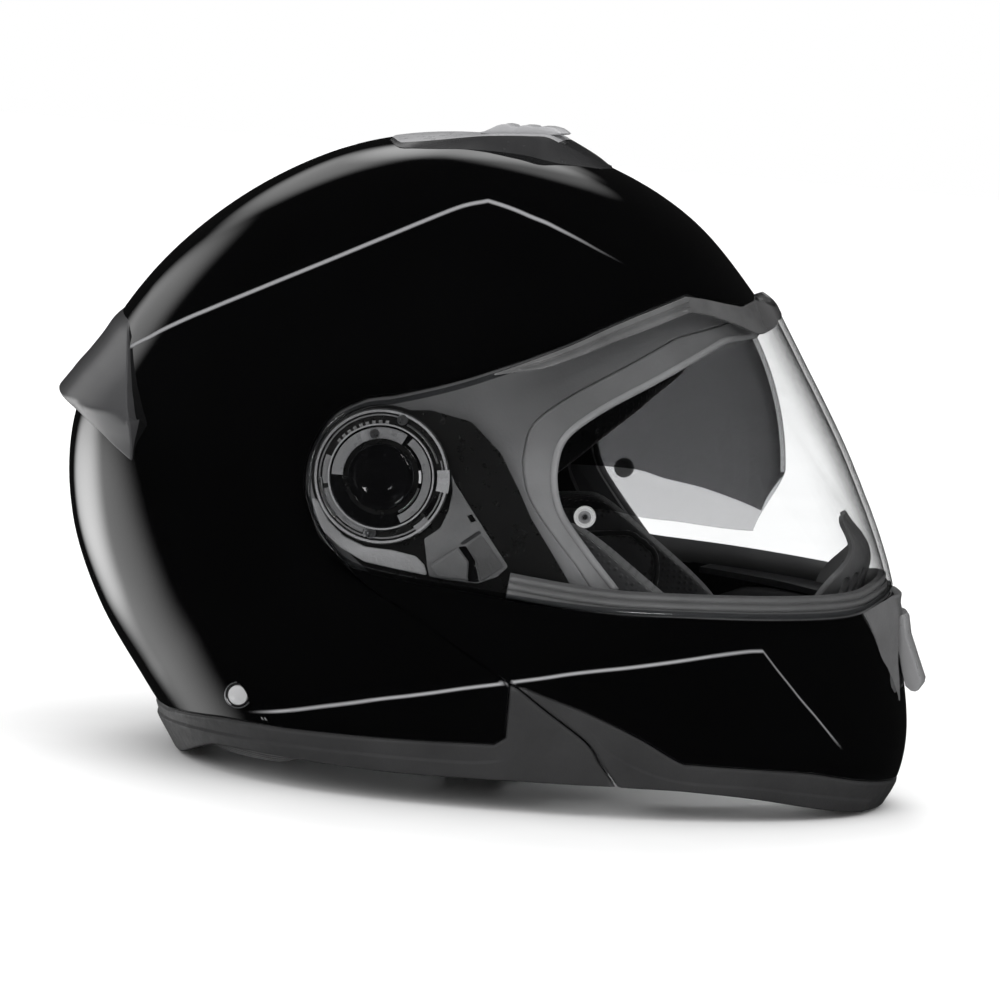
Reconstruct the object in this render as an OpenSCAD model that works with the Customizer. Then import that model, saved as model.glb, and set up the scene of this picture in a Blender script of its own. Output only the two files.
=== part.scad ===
// Modular flip-front motorcycle helmet, resting on its lower rim.
// Millimetres. +X is the front, +Y the rider's left, +Z up, lowest edge on Z = 0.
// The chin bar and the clear shield turn about one cross axis, hinge;
// the drop-down sun visor swings about its own cross axis, visor_axis, inside the shell.

/* [Outer shell] */
// wall thickness of the outer shell
shell_wall = 4; // [3:0.5:4]
// half width of the helmet over the chin bar sides
half_width = 129.5; // [129:0.5:130]
// wall thickness of the chin bar sides
chin_wall = 4.2; // [3.6:0.2:4.4]

/* [Face shield] */
// thickness of the clear face shield
shield_thickness = 2.2; // [1.8:0.2:2.2]
// thickness of the smoked drop-down visor
visor_thickness = 2; // [1.6:0.2:2.2]

/* [Hinge mechanism] */
// radius of the fixed hinge boss the chin bar turns on
boss_radius = 8; // [7:0.5:8.5]
// radial running clearance of the turning parts
run_clearance = 0.05; // [0.03:0.01:0.08]
// teeth on the shield detent ring
ring_teeth = 7; // [5:1:9]

/* [Vents] */
// grip ribs on the top vent slider
vent_ribs = 3; // [2:1:4]
// half width of the top vent housing
top_vent_half = 34; // [30:1:36]

/* [Chin strap] */
// width of the chin strap webbing
strap_width = 22; // [18:1:24]
// thickness of the chin strap webbing
strap_thickness = 1.8; // [1.4:0.2:2.2]

/* [Lining] */
// thickness of the crown lining
lining = 9; // [6:1:11]

/* [Hidden] */

// cross axes, as [x, z]
hinge = [-32, 122];
visor_axis = [0, 120];
latch = [53, 46];
rivet = [-81.3, 32.7];

// half widths
shell_pole = 119.2;         // shell at the hinge
recess_half = 117.5;        // shell sides under the chin bar
inner_pole = 114.3;         // inside of the shell at the hinge
shield_half = 130.8;
arm_inner = 121;            // inner face of the chin bar arms

// radii of the parts stacked on the hinge
mount_radius = 13.4;
bush_radius = 11.4;
plate_radius = 26.8;
collar_radius = 14;
cap_radius = 12;
// y of the layers at the hinge
mount_face = 119.8;
plate_inner = 123.8;
plate_outer = 125.4;

latch_pin_radius = 3;
rivet_radius = 5.2;

// ---- section tables ------------------------------------------------------
// centre-line radii about the hinge: [angle above the front, radius]
shell_radii = [[-30, 228], [-12, 196], [10, 158], [30, 146.5], [45, 141.7], [60, 135.6],
  [75, 130], [90, 125.8], [105, 123.2], [120, 121.4], [135, 121.9], [150, 125], [165, 129.8],
  [180, 135], [195, 136.8], [210, 136.9], [225, 138.6], [240, 148], [255, 167], [270, 188],
  [285, 206], [300, 222], [315, 231]];
chin_radii = [[-33, 230], [-29, 229], [-25, 223.5], [-20, 212.5], [-16, 203.5], [-12, 196],
  [0, 190], [30, 190], [90, 190], [150, 180], [195, 160], [225, 150], [240, 155], [255, 169],
  [270, 188], [285, 206], [300, 222], [315, 231]];
shield_radii = [[-30, 218], [-20, 209], [-10.7, 195.4], [-4.5, 184.6], [0.2, 176.8],
  [5.3, 169.8], [10.9, 163.2], [16.9, 157.8], [23.3, 154.2], [30, 152.6], [45, 152],
  [70, 151], [110, 152], [180, 165], [270, 200], [310, 216]];
spoiler_radii = [[-30, 228], [10, 158], [60, 135.6], [105, 123], [138, 120.5], [148, 122.6],
  [156, 125.4], [160, 129.3], [163.5, 131.2], [167.2, 134.3], [169.5, 137], [171.5, 139.8],
  [173.5, 143.2], [174.6, 144.2], [176.2, 141.6], [180, 137.4], [190, 137.4], [225, 140],
  [255, 169], [315, 231]];
top_vent_radii = [[-60, 110], [0, 112], [40, 122], [54, 127], [59, 130.6], [61.5, 135.6],
  [64.3, 136.4], [68, 136.9], [71.5, 136.4], [77, 133.2], [80.6, 131.1], [83.5, 129.5],
  [89.4, 127.2], [94, 124.8], [99, 122.6], [106, 119], [140, 112], [180, 112], [270, 110]];
chin_vent_radii = [[-33, 224], [-27, 226.5], [-24, 226], [-20.2, 219.8], [-15.8, 208],
  [-11.7, 201.3], [-9, 190], [0, 160], [90, 120], [180, 120], [270, 140], [310, 200]];
// head cavity, about its own axis
cavity_radii = [[0, 104], [45, 101], [90, 96], [135, 101], [180, 104], [215, 112],
  [240, 135], [270, 150], [310, 150]];

// fullness of the sections: [angle, exponent], 2 is an ellipse and more is squarer
shell_fullness = [[-30, 2.0], [0, 2.1], [30, 2.5], [60, 2.45], [90, 2.35], [130, 2.3],
  [180, 2.25], [225, 2.3], [270, 2.4], [300, 2.25]];
chin_fullness = [[-30, 2.0], [0, 2.0], [30, 2.1], [90, 2.2], [180, 2.2], [270, 2.4], [300, 2.25]];
shield_fullness = [[-30, 2.0], [0, 2.1], [30, 2.15], [70, 2.1], [180, 2.1]];
soft_fullness = 2.3;

// half widths: [angle, half width]
shell_widths = [[-60, 129.5], [-40, 129.5], [0, 120], [25, 119], [60, 119], [100, 119.4],
  [120, 122], [145, 125.5], [180, 126], [210, 127.5], [232, 129.5], [270, 129.5]];
inner_widths = [[-80, 114.3], [0, 114.3], [60, 114.3], [100, 114.3], [130, 118],
  [180, 121.5], [230, 123], [255, 119]];
inner_drawn_wall = 4;       // shell wall that inner_widths are drawn for

// ---- curve helpers -------------------------------------------------------
// table entry by index, carried on round the turn past either end
function entry(table, i) =
  let (turns = floor(i / len(table)), row = table[i - turns * len(table)])
  [row[0] + 360 * turns, row[1]];
function entry_before(table, angle) =
  let (passed = [for (k = [0:len(table) - 1]) if (table[k][0] <= angle + 1e-9) k])
  passed[len(passed) - 1];
// smooth cyclic interpolation of a table of [angle, value]
function table_at(table, angle) =
  let (start = table[0][0],
       turned = angle - 360 * floor((angle - start) / 360),
       i = entry_before(table, turned),
       before = entry(table, i - 1), from = entry(table, i),
       to = entry(table, i + 1), after = entry(table, i + 2),
       span = to[0] - from[0], s = (turned - from[0]) / span,
       slope_from = (to[1] - before[1]) / (to[0] - before[0]),
       slope_to = (after[1] - from[1]) / (after[0] - from[0]))
  from[1] * (2 * s * s * s - 3 * s * s + 1) + slope_from * span * (s * s * s - 2 * s * s + s)
  + to[1] * (3 * s * s - 2 * s * s * s) + slope_to * span * (s * s * s - s * s);
// a plain number stands for a constant table
function as_table(value) = is_num(value) ? [[0, value], [180, value]] : value;

// smooth open curve through points, with a number of steps per span
function curve_point(points, i, s) =
  let (a = points[max(i - 1, 0)], b = points[i], c = points[i + 1],
       d = points[min(i + 2, len(points) - 1)])
  0.5 * (2 * b + (c - a) * s + (2 * a - 5 * b + 4 * c - d) * s * s
    + (3 * b - a - 3 * c + d) * s * s * s);
function curve(points, steps = 2) =
  [for (i = [0:len(points) - 2]) for (j = [0:steps - 1]) curve_point(points, i, j / steps),
    points[len(points) - 1]];

function reversed(list) = [for (i = [len(list) - 1:-1:0]) list[i]];
function shifted(points, by) = [for (p = points) p + by];
// list without its first and last few entries
function drop(list, first, last = 0) = [for (i = [first:len(list) - 1 - last]) list[i]];
function smooth_step(t) = let (u = min(1, max(0, t))) u * u * (3 - 2 * u);
function signed_pow(value, power) = sign(value) * pow(abs(value), power);
// point at an angle on a circle about a side-view centre
function around(centre, radius, angle) = centre + radius * [cos(angle), sin(angle)];

// ---- solid helpers -------------------------------------------------------
// Closed body round a cross axis, from the left pole to the right pole:
// r = radius * sin^(2/fullness), y = half width * cos^(2/fullness).
// grow adds to the radii and widen to the half widths; rows run from a pole to the centre line.
module body(radii, fullness, widths, grow = 0, widen = 0,
            axis = hinge, pole = shell_pole, steps = 52, rows = 7) {
  pole_flat = 26;           // radius within which the pole half width holds
  pole_blend = 22;          // radial length of the change to the table's half width
  pole_half = is_num(widths) ? widths : pole;
  r_at = [for (k = [0:steps - 1]) table_at(as_table(radii), k * 360 / steps) + grow];
  p_at = [for (k = [0:steps - 1]) table_at(as_table(fullness), k * 360 / steps)];
  w_at = [for (k = [0:steps - 1]) table_at(as_table(widths), k * 360 / steps)];
  rings = 2 * rows - 1;
  last = 1 + rings * steps;
  function corner(j, k) = 1 + j * steps + k % steps;
  points = [[axis[0], pole_half + widen, axis[1]],
    for (j = [1:rings]) for (k = [0:steps - 1])
      let (tilt = 90 * j / rows, angle = k * 360 / steps,
           r = r_at[k] * pow(sin(tilt), 2 / p_at[k]),
           blend = smooth_step((r - pole_flat) / pole_blend),
           w = pole_half + (w_at[k] - pole_half) * blend + widen)
      [axis[0] + r * cos(angle), w * signed_pow(cos(tilt), 2 / p_at[k]),
        axis[1] + r * sin(angle)],
    [axis[0], -pole_half - widen, axis[1]]];
  faces = [for (k = [0:steps - 1]) [0, corner(0, k), corner(0, k + 1)],
    for (j = [0:rings - 2]) for (k = [0:steps - 1])
      [corner(j, k), corner(j + 1, k), corner(j + 1, k + 1)],
    for (j = [0:rings - 2]) for (k = [0:steps - 1])
      [corner(j, k), corner(j + 1, k + 1), corner(j, k + 1)],
    for (k = [0:steps - 1]) [last, corner(rings - 1, k + 1), corner(rings - 1, k)]];
  polyhedron(points, faces, convexity = 4);
}
// side-view [x, z] shape pushed through the whole width
module across(width = 320) {
  translate([0, width / 2, 0]) rotate([90, 0, 0]) linear_extrude(width) children();
}
module side_prism(outline) { across() polygon(outline); }
// front-view [y, z] outline pushed forward from x
module front_prism(x, length, outline) {
  translate([x, 0, 0]) rotate([90, 0, 90]) linear_extrude(length) polygon(outline);
}
// cylinder along Y between two y values
module cyl_y(r, y0, y1, at = hinge, fn = 48) {
  translate([at[0], y0, at[1]]) rotate([-90, 0, 0]) cylinder(r = r, h = y1 - y0, $fn = fn);
}
// [radius, height] outline turned about Y, height running outwards from y
module turned_y(at, y, outline, fn) {
  translate([at[0], y, at[1]]) rotate([-90, 0, 0]) rotate_extrude($fn = fn) polygon(outline);
}
// matching cross cylinders centred at y on both sides
module side_holes(at, y, r, h, fn) {
  for (s = [-1, 1])
    translate([at[0], s * y, at[1]]) rotate([90, 0, 0])
      cylinder(r = r, h = h, center = true, $fn = fn);
}
// block centred on the middle plane, with its rear lower edge at x, z
module mid_block(x, z, size) { translate([x, -size[1] / 2, z]) cube(size); }
module left_half() { translate([-200, 0, 0]) cube([400, 200, 300]); }
module one_mesh() { resize([0, 0, 0]) children(); }

// ---- shared forms --------------------------------------------------------
module shell_form(grow = 0, widen = 0) {
  body(shell_radii, shell_fullness, shell_widths, grow, widen);
}
module recess_form() { body(shell_radii, shell_fullness, recess_half, grow = -2.7); }
module inner_form(grow, widen) {
  body(shell_radii, shell_fullness, inner_widths, grow, widen, pole = inner_pole);
}
// space inside the shell wall
module inner_body(inset = 0) {
  inner_form(-shell_wall - 2.2 - inset, inner_drawn_wall - shell_wall - inset);
}
module cavity_form(grow = 0) {
  body(cavity_radii, soft_fullness, 82, grow, grow, axis = [-10, 118], steps = 40, rows = 6);
}
module chin_form(grow = 0, widen = 0) {
  body(chin_radii, chin_fullness, half_width, grow, widen);
}
// chin form shrunk to a given half width
module chin_form_to(y) { chin_form(y - half_width, y - half_width); }
module shield_form(grow = 0, widen = 0) {
  body(shield_radii, shield_fullness, shield_half, grow, widen, steps = 60, rows = 8);
}

// ---- shared outlines, side view [x, z] -----------------------------------
shield_top = curve([[-57.6, 131], [-51, 141.6], [-40, 148.6], [-28, 151.4], [-3, 159.6],
  [29, 173.6], [50, 184.8], [73.5, 196.2]]);
shield_low = curve([[-58.5, 112], [-52, 98.5], [-40.5, 88.4], [-21.5, 84.9], [4.7, 82.6],
  [23.3, 80.6], [53.4, 78.6], [90, 78.6], [125, 78.8], [145, 79.6], [152, 81.6], [160, 86]]);
// line between the shell and the chin bar
parting = curve([[-49.5, 96], [-40.4, 86.8], [-32.4, 80.5], [-12.9, 69.5], [6.9, 57.4],
  [22.1, 48.3]]);
// line between the base trim and the chin trim
trim_step = curve([[24.4, 47.4], [35.7, 39.2], [51.6, 27.9], [57.3, 20], [63.8, 11.3]]);
trim_top = [[-114.4, 18], [-90.9, 21.2], [-80.3, 21.8], [-44.2, 23], [-19.3, 23.6], [18, 25]];
chin_trim_top = [[27.6, 47.6], [50.4, 39.8], [71.3, 30.5], [86.8, 21.9], [94.2, 20.9],
  [131.5, 18.5], [154.4, 14], [185, 8]];
// opening edge of the eyeport frame, and the frame's line against the shell
eye_edge = curve([[57, 85.2], [44, 100], [34, 113], [30.6, 124], [30.4, 131], [33, 141.6],
  [45.7, 152.9], [66.2, 166], [88, 180.6]]);
eye_outer = concat([[49.5, 83.6]], [for (i = [2:2:16]) eye_edge[i] + [-11, 4]],
  [[90, 186.8], [120, 188.1]]);

// ---- shell group ---------------------------------------------------------
shell_outline = concat([[-200, 18], [-114.4, 18]], trim_top, [[21.6, 28], [21.9, 48.4]],
  reversed(parting),
  [[-52.5, 99], [-59.5, 112], [-60.5, 122], [-58.5, 131], [-52, 142.6], [-41, 149.6]],
  shifted(drop(shield_top, 7), [-0.6, 1]),
  [[78, 195.6], [92, 192.6], [120, 196], [120, 300], [-200, 300]]);
recess_outline = concat(
  [[-70, 90], [-10, 60], [18, 47], [20, 14], [60, 14], [60, 44], [52.6, 72]],
  shifted(eye_outer, [-0.25, 0.15]), [[120, 200], [60, 204], [-70, 160]]);

module shell() {
  color([0.02, 0.02, 0.022]) one_mesh() difference() {
    union() {
      // full-width rear and crown
      intersection() {
        shell_form();
        side_prism(shell_outline);
      }
      // recessed sides under the chin bar and the shield
      intersection() {
        recess_form();
        side_prism(recess_outline);
      }
    }
    inner_body();
    side_holes(hinge, y = 120, r = mount_radius + 0.4, h = 30, fn = 36);
    side_holes(latch, y = 105, r = latch_pin_radius + 0.3, h = 40, fn = 20);
    side_holes(rivet, y = 105, r = rivet_radius + 0.4, h = 50, fn = 18);
    // air duct under the top vent
    translate([-2, 0, 245]) cube([26, 24, 30], center = true);
  }
}

module eyeport_frame() {
  color([0.1, 0.1, 0.105]) one_mesh() difference() {
    intersection() {
      recess_form();
      side_prism(concat([[52.8, 72]], eye_outer, [[120, 183.5], [98, 182]], reversed(eye_edge)));
    }
    inner_body(0.8);
  }
}

// room for the raised sun visor
module visor_space() {
  difference() {
    side_prism([[-22, 98], [220, 70], [220, 300], [-22, 300]]);
    body(110.2, soft_fullness, 97, axis = visor_axis, steps = 40, rows = 6);
  }
}
module pad_body(grow) {
  body(106 + grow, soft_fullness, 88 + grow, axis = [4, 64], steps = 36, rows = 6);
}
// room for the cheek pads, up to a height
module pad_recess(gap, top) {
  intersection() {
    pad_body(gap);
    side_prism([[-55, 10], [100, 10], [100, top], [-55, top]]);
  }
}

eps_outline = [[-200, 38], [-46, 38], [-42, 26], [46, 26], [50, 44], [43, 72], [34, 92],
  [24, 110], [20, 124], [20.5, 134], [24, 146], [38, 160], [60, 172], [84, 184], [120, 190],
  [120, 300], [-200, 300]];
module eps_liner() {
  color([0.13, 0.13, 0.135]) one_mesh() difference() {
    intersection() {
      inner_body(0.6);
      side_prism(eps_outline);
    }
    cavity_form();
    pad_recess(gap = 0.5, top = 112);
    visor_space();
    side_holes(hinge, y = 112, r = 15, h = 14, fn = 32);
    side_holes(latch, y = 100, r = 6, h = 20, fn = 20);
    side_holes(rivet, y = 96, r = 9, h = 30, fn = 20);
    // slots the chin strap passes through
    for (s = [-1, 1]) translate([10, s * 98, 30]) cube([34, 24, 44], center = true);
  }
}

crown_outline = [[-200, 42], [-62, 42], [-50, 84], [-44, 106], [-20, 112], [40, 114],
  [62, 140], [80, 168], [120, 176], [120, 300], [-200, 300]];
module crown_liner() {
  color([0.16, 0.16, 0.17]) one_mesh() difference() {
    intersection() {
      cavity_form(-0.5);
      side_prism(crown_outline);
    }
    cavity_form(-lining);
    pad_recess(gap = 1, top = 113);
    visor_space();
  }
}

pad_outline = curve([[-40, 30], [-34, 23], [0, 20], [34, 20], [56, 26], [70, 42], [77, 64],
  [77, 88], [68, 102], [50, 108], [10, 104], [-26, 100], [-42, 84], [-46, 56], [-40, 30]]);
module cheek_pad() {
  one_mesh() intersection() {
    difference() {
      intersection() {
        pad_body(-0.4);
        side_prism(pad_outline);
      }
      body(190, soft_fullness, 56, axis = [-10, 90], steps = 40);
      // recess for the wearer's ear
      cyl_y(26, 60, 74, [-14, 104], 40);
    }
    left_half();
  }
}
module cheek_pad_left() { color([0.14, 0.14, 0.15]) cheek_pad(); }
module cheek_pad_right() { color([0.14, 0.14, 0.15]) mirror([0, 1, 0]) cheek_pad(); }

neck_outline = curve([[-150, 2], [-100, 2], [-62, 5], [-47, 12], [-45, 24], [-52, 34],
  [-80, 37], [-150, 37]], 3);
module neck_roll() {
  color([0.12, 0.12, 0.125]) one_mesh() difference() {
    intersection() {
      inner_body(2.2);
      side_prism(neck_outline);
    }
    inner_form(-23.4, -19);
    side_holes(rivet, y = 106, r = 8, h = 24, fn = 20);
  }
}

base_outline = concat([[-200, 17.7], [-114.4, 17.7]], shifted(trim_top, [0, -0.3]),
  [[22, 27.8], [22.3, 47.9]], trim_step,
  [[5.4, 10.8], [-18.7, 10.3], [-58.4, 10.6], [-86, 10.4], [-95, 7.6], [-104.4, 0.8],
    [-106.6, 0], [-150, 0]]);
module base_trim() {
  color([0.03, 0.03, 0.032]) one_mesh() difference() {
    intersection() {
      shell_form(0.5, 0.5);
      side_prism(base_outline);
    }
    shell_form(-7, -6.4);
    // slot for the visor slider
    translate([-16, 114, 17.5]) cube([34, 30, 4.4], center = true);
  }
}

spoiler_outline = [[-200, 150], [-178, 136.5], [-146.2, 127], [-131, 116], [-133, 140],
  [-138.8, 158.2], [-144, 172], [-150, 190], [-200, 190]];
module rear_spoiler() {
  color([0.06, 0.06, 0.064]) one_mesh() difference() {
    intersection() {
      body(spoiler_radii, shell_fullness, 127.2);
      side_prism(spoiler_outline);
    }
    shell_form(0.25, 0.25);
  }
}

top_slider_z = 250.5;
top_slider_height = 2;
module top_vent_housing() {
  color([0.025, 0.025, 0.027]) one_mesh() difference() {
    body(top_vent_radii, 2.6, top_vent_half * 1.94, steps = 90);
    shell_form(0.25, 0.25);
    // slider track
    mid_block(-12, top_slider_z - 0.3, [47, 30.8, 20]);
  }
}
module top_vent_slider() {
  rib_span = 17;
  color([0.38, 0.38, 0.4]) {
    mid_block(-5, top_slider_z, [25, 30, top_slider_height]);
    for (i = [0:vent_ribs - 1])
      mid_block(-4 + i * rib_span / max(vent_ribs - 1, 1), top_slider_z + top_slider_height,
        [2.6, 24, 1.4]);
  }
}

// flange in the shell wall with the boss outside it
module hinge_mount() {
  cyl_y(mount_radius, 112.6, mount_face);
  cyl_y(boss_radius, mount_face, 124.6);
}
module hinge_mount_left() { color([0.5, 0.5, 0.52]) hinge_mount(); }
module hinge_mount_right() { color([0.5, 0.5, 0.52]) mirror([0, 1, 0]) hinge_mount(); }

module latch_pin() {
  cyl_y(latch_pin_radius, 96.6, 106.2, latch, 32);
  cyl_y(5.4, 94.6, 96.6, latch, 32);
}
module latch_pin_left() { color([0.6, 0.6, 0.62]) latch_pin(); }
module latch_pin_right() { color([0.6, 0.6, 0.62]) mirror([0, 1, 0]) latch_pin(); }

module strap_rivet() {
  turned_y(rivet, 96, [[0, 0], [rivet_radius, 0], [rivet_radius, 10.2], [4.2, 10.6],
    [3.7, 10.2], [3.6, 11.2], [2.4, 12], [0, 12.3]], fn = 48);
}
module strap_rivet_left() { color([0.75, 0.75, 0.77]) strap_rivet(); }
module strap_rivet_right() { color([0.75, 0.75, 0.77]) mirror([0, 1, 0]) strap_rivet(); }

// ---- chin strap and buckle -----------------------------------------------
strap_x = 11;               // middle of the strap and buckle
anchor_y = 98.6;            // inner face of the anchor plate
frame_width = 26;
frame_rail = 2.4;
frame_y = -33.6;
frame_z = 2;
frame_length = 44;
lever_pin = [-24, 9.4];     // [y, z]
lever_pin_radius = 1.5;
lever_z = 8.6;
lever_height = 2.2;
tongue_width = 16;
tongue_z = 4.5;
tongue_height = 2;

// block centred on the strap in x
module strap_block(width, y, z, length, height) {
  translate([strap_x - width / 2, y, z]) cube([width, length, height]);
}
module cross_rod(radius, length) {
  translate([strap_x - length / 2, lever_pin[0], lever_pin[1]]) rotate([0, 90, 0])
    cylinder(r = radius, h = length, $fn = 32);
}

module strap_anchor() {
  strap_block(28, anchor_y, 32, 1.6, 18);
  cyl_y(2.4, 97.2, anchor_y, [strap_x, 47.2], 28);
}
module strap_anchor_left() { color([0.62, 0.62, 0.64]) strap_anchor(); }
module strap_anchor_right() { color([0.62, 0.62, 0.64]) mirror([0, 1, 0]) strap_anchor(); }

// [y, z] path of the strap from the anchor plate inside the shell to the buckle
strap_path = curve([[96.4, 44], [96.6, 34], [93, 22], [84, 12], [70, 7.2], [52, 6.2], [34, 6]], 3);
function path_normal(path, i) =
  let (a = path[max(i - 1, 0)], b = path[min(i + 1, len(path) - 1)], d = (b - a) / norm(b - a))
  [-d[1], d[0]];
function path_offset(path, by) =
  [for (i = [0:len(path) - 1]) path[i] + path_normal(path, i) * by];
module webbing() {
  front_prism(strap_x - strap_width / 2, strap_width,
    concat(path_offset(strap_path, strap_thickness / 2),
      reversed(path_offset(strap_path, -strap_thickness / 2))));
}
module chin_strap_left() { color([0.05, 0.05, 0.055]) webbing(); }
module chin_strap_right() { color([0.05, 0.05, 0.055]) mirror([0, 1, 0]) webbing(); }

module buckle_frame() {
  color([0.07, 0.07, 0.075]) difference() {
    union() {
      strap_block(frame_width, frame_y, frame_z, frame_length, 2.2);
      for (x = [strap_x - frame_width / 2, strap_x + frame_width / 2 - frame_rail])
        translate([x, frame_y, frame_z]) cube([frame_rail, frame_length, 10.4]);
      strap_block(frame_width, frame_y, frame_z, frame_rail, 3);
    }
    cross_rod(lever_pin_radius + 0.06, 32);
  }
}
module buckle_tongue() {
  tooth = [[0, 0], [2.6, 0], [0, 1]];
  color([0.3, 0.3, 0.31]) {
    strap_block(tongue_width, -18, tongue_z, 51, tongue_height);
    for (i = [0:6])
      translate([0, -14 + i * 4, tongue_z + tongue_height])
        front_prism(strap_x - tongue_width / 2, tongue_width, tooth);
  }
}
module buckle_lever() {
  color([0.55, 0.06, 0.05]) {
    cross_rod(lever_pin_radius, 28);
    strap_block(20.4, -25, lever_z, 26, lever_height);
    strap_block(20.4, -1, lever_z + lever_height, 2, 1.6);
  }
}

// ---- sun visor -----------------------------------------------------------
visor_pivot_radius = 3.9;
module visor_pivot() {
  cyl_y(visor_pivot_radius, 99.4, 111.6, visor_axis, 32);
  cyl_y(7, 97.6, 99.4, visor_axis, 32);
}
module visor_pivot_left() { color([0.2, 0.2, 0.21]) visor_pivot(); }
module visor_pivot_right() { color([0.2, 0.2, 0.21]) mirror([0, 1, 0]) visor_pivot(); }

visor_outline = concat([[-8, 113]],
  curve([[20, 113.6], [49.4, 114.5], [63.8, 112.3], [78.6, 111], [93.3, 108.8],
    [106, 106.8], [125, 106.8]]),
  [[125, 170], [100, 196], [76, 205], [58, 186], [30, 158], [14, 146], [0, 131], [-8, 127]]);
nose_half = 46;
nose_arch = concat([[nose_half, 80]],
  [for (a = [0:6:180])
    [nose_half * signed_pow(cos(a), 1.14), 106.7 + 20 * signed_pow(sin(a), 1.14)]],
  [[-nose_half, 80]]);
module visor_form(inset = 0) {
  body(114 - inset, soft_fullness, 102 - inset, axis = visor_axis, steps = 52, rows = 8);
}
module sun_visor() {
  color([0.05, 0.05, 0.055, 0.7]) one_mesh() difference() {
    intersection() {
      visor_form();
      side_prism(visor_outline);
    }
    visor_form(visor_thickness);
    front_prism(60, 80, nose_arch);
    cyl_y(visor_pivot_radius + 0.4, -130, 130, visor_axis, 32);
  }
}
module visor_slider() {
  color([0.05, 0.05, 0.052]) {
    translate([-26, 108.5, 15.9]) cube([12, 10, 3.2]);
    translate([-29, 118.5, 13.4]) cube([18, 3, 8.2]);
    // grip ribs on the outer face
    for (i = [0:3]) translate([-27.6 + i * 4.4, 121.5, 14.4]) cube([1.6, 1, 6.2]);
  }
}

// ---- chin bar group ------------------------------------------------------
arm_outline = [[-16, 148], [-0.5, 145], [11.4, 134.1], [19, 121], [24.4, 110.8], [36.9, 93.1],
  [43, 84], [43, 71], [6, 71], [-19, 78.4], [-31, 83.6], [-42, 92], [-52, 112], [-50, 134],
  [-36, 146]];
chin_outline = concat(drop(parting, 2), [[27, 47.9]],
  shifted(drop(chin_trim_top, 1), [0, 0.3]),
  [[200, 12], [200, 84], [160, 84.9], [152, 80.6]],
  reversed(shifted(drop(shield_low, 5, 3), [0, -0.9])));
band_outline = [[-36, 85], [-21, 83.2], [4.7, 81.3], [23.3, 79.4], [50, 77.4], [70, 77.2],
  [66, 66], [30, 66], [6, 70], [-16, 75], [-31, 82]];
shelf_outline = [[100, 75.4], [155, 75.4], [190, 76.4], [190, 79.4], [155, 78.6], [100, 77.8]];

module chin_bar() {
  color([0.022, 0.022, 0.024]) one_mesh() difference() {
    union() {
      // outer wall
      difference() {
        intersection() {
          chin_form();
          side_prism(chin_outline);
        }
        chin_form(-chin_wall, -chin_wall);
      }
      // band that joins the side arms to the walls
      difference() {
        intersection() {
          chin_form(-1, -0.6);
          side_prism(band_outline);
        }
        chin_form_to(arm_inner);
      }
      // side arms out to the hinge
      difference() {
        intersection() {
          chin_form_to(arm_inner + 2.4);
          across() union() {
            polygon(arm_outline);
            translate(hinge) circle(r = plate_radius - 0.2, $fn = 64);
          }
        }
        chin_form_to(arm_inner);
      }
      // inner shelf behind the top edge
      difference() {
        intersection() {
          chin_form(-2, -2);
          side_prism(shelf_outline);
        }
        chin_form(-20, -16);
        body(151, soft_fullness, arm_inner, steps = 48);
      }
    }
    side_holes(hinge, y = 120, r = bush_radius + 0.4, h = 30, fn = 48);
    // air inlet behind the vent
    translate([165, 0, 56]) cube([60, 26, 16], center = true);
  }
}

// space about the hinge that the chin bar's inner parts keep clear of
module sweep_space() { body(149.5, 2.55, 120.8, steps = 60, rows = 8); }

chin_liner_outline = [[72, 34], [88, 24.8], [96, 23.8], [131.5, 21.4], [154.4, 17],
  [190, 10.6], [200, 75], [104, 75], [86, 68], [77, 50]];
module chin_liner() {
  color([0.12, 0.12, 0.125]) one_mesh() difference() {
    intersection() {
      chin_form(-chin_wall - 0.6, -chin_wall - 0.6);
      side_prism(chin_liner_outline);
    }
    chin_form(-24, -20);
    sweep_space();
    translate([165, 0, 56]) cube([90, 24, 12], center = true);
  }
}

chin_trim_outline = concat(shifted(reversed(trim_step), [0.8, 0.3]), chin_trim_top,
  [[185, 0], [158, 0], [144.7, 2.4], [116.6, 8], [89.4, 10.8], [69.8, 11.2], [64.4, 11.2]]);
module chin_trim() {
  color([0.03, 0.03, 0.032]) one_mesh() difference() {
    intersection() {
      chin_form(0.5, 0.5);
      side_prism(chin_trim_outline);
    }
    chin_form(-8.6, -chin_wall);
  }
}

// frame of the chin vent, leaning back with the chin face
module chin_vent_frame() {
  translate([171.6, 0, 61]) rotate([0, -atan2(7, 30), 0]) children();
}
chin_vent_outline = [[120, 30], [190, 30], [190, 84.6], [161, 84.9], [152, 80.5],
  [145, 78.5], [120, 77.7]];
module chin_vent_housing() {
  color([0.1, 0.1, 0.105]) one_mesh() difference() {
    intersection() {
      body(chin_vent_radii, 2, 107, steps = 144, rows = 9);
      side_prism(chin_vent_outline);
    }
    chin_form(0.3, 0.3);
    // slider recess and the air passage behind it
    chin_vent_frame() mid_block(-2.2, -16, [20, 33, 38]);
    chin_vent_frame() mid_block(-20, -8, [40, 26, 12]);
  }
}
module chin_vent_slider() {
  color([0.5, 0.5, 0.52]) chin_vent_frame() {
    mid_block(-1.9, -15.4, [2.6, 32, 30]);
    for (i = [0:2]) mid_block(0.7, -12 + i * 4, [1, 18, 1.6]);
  }
}

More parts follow.
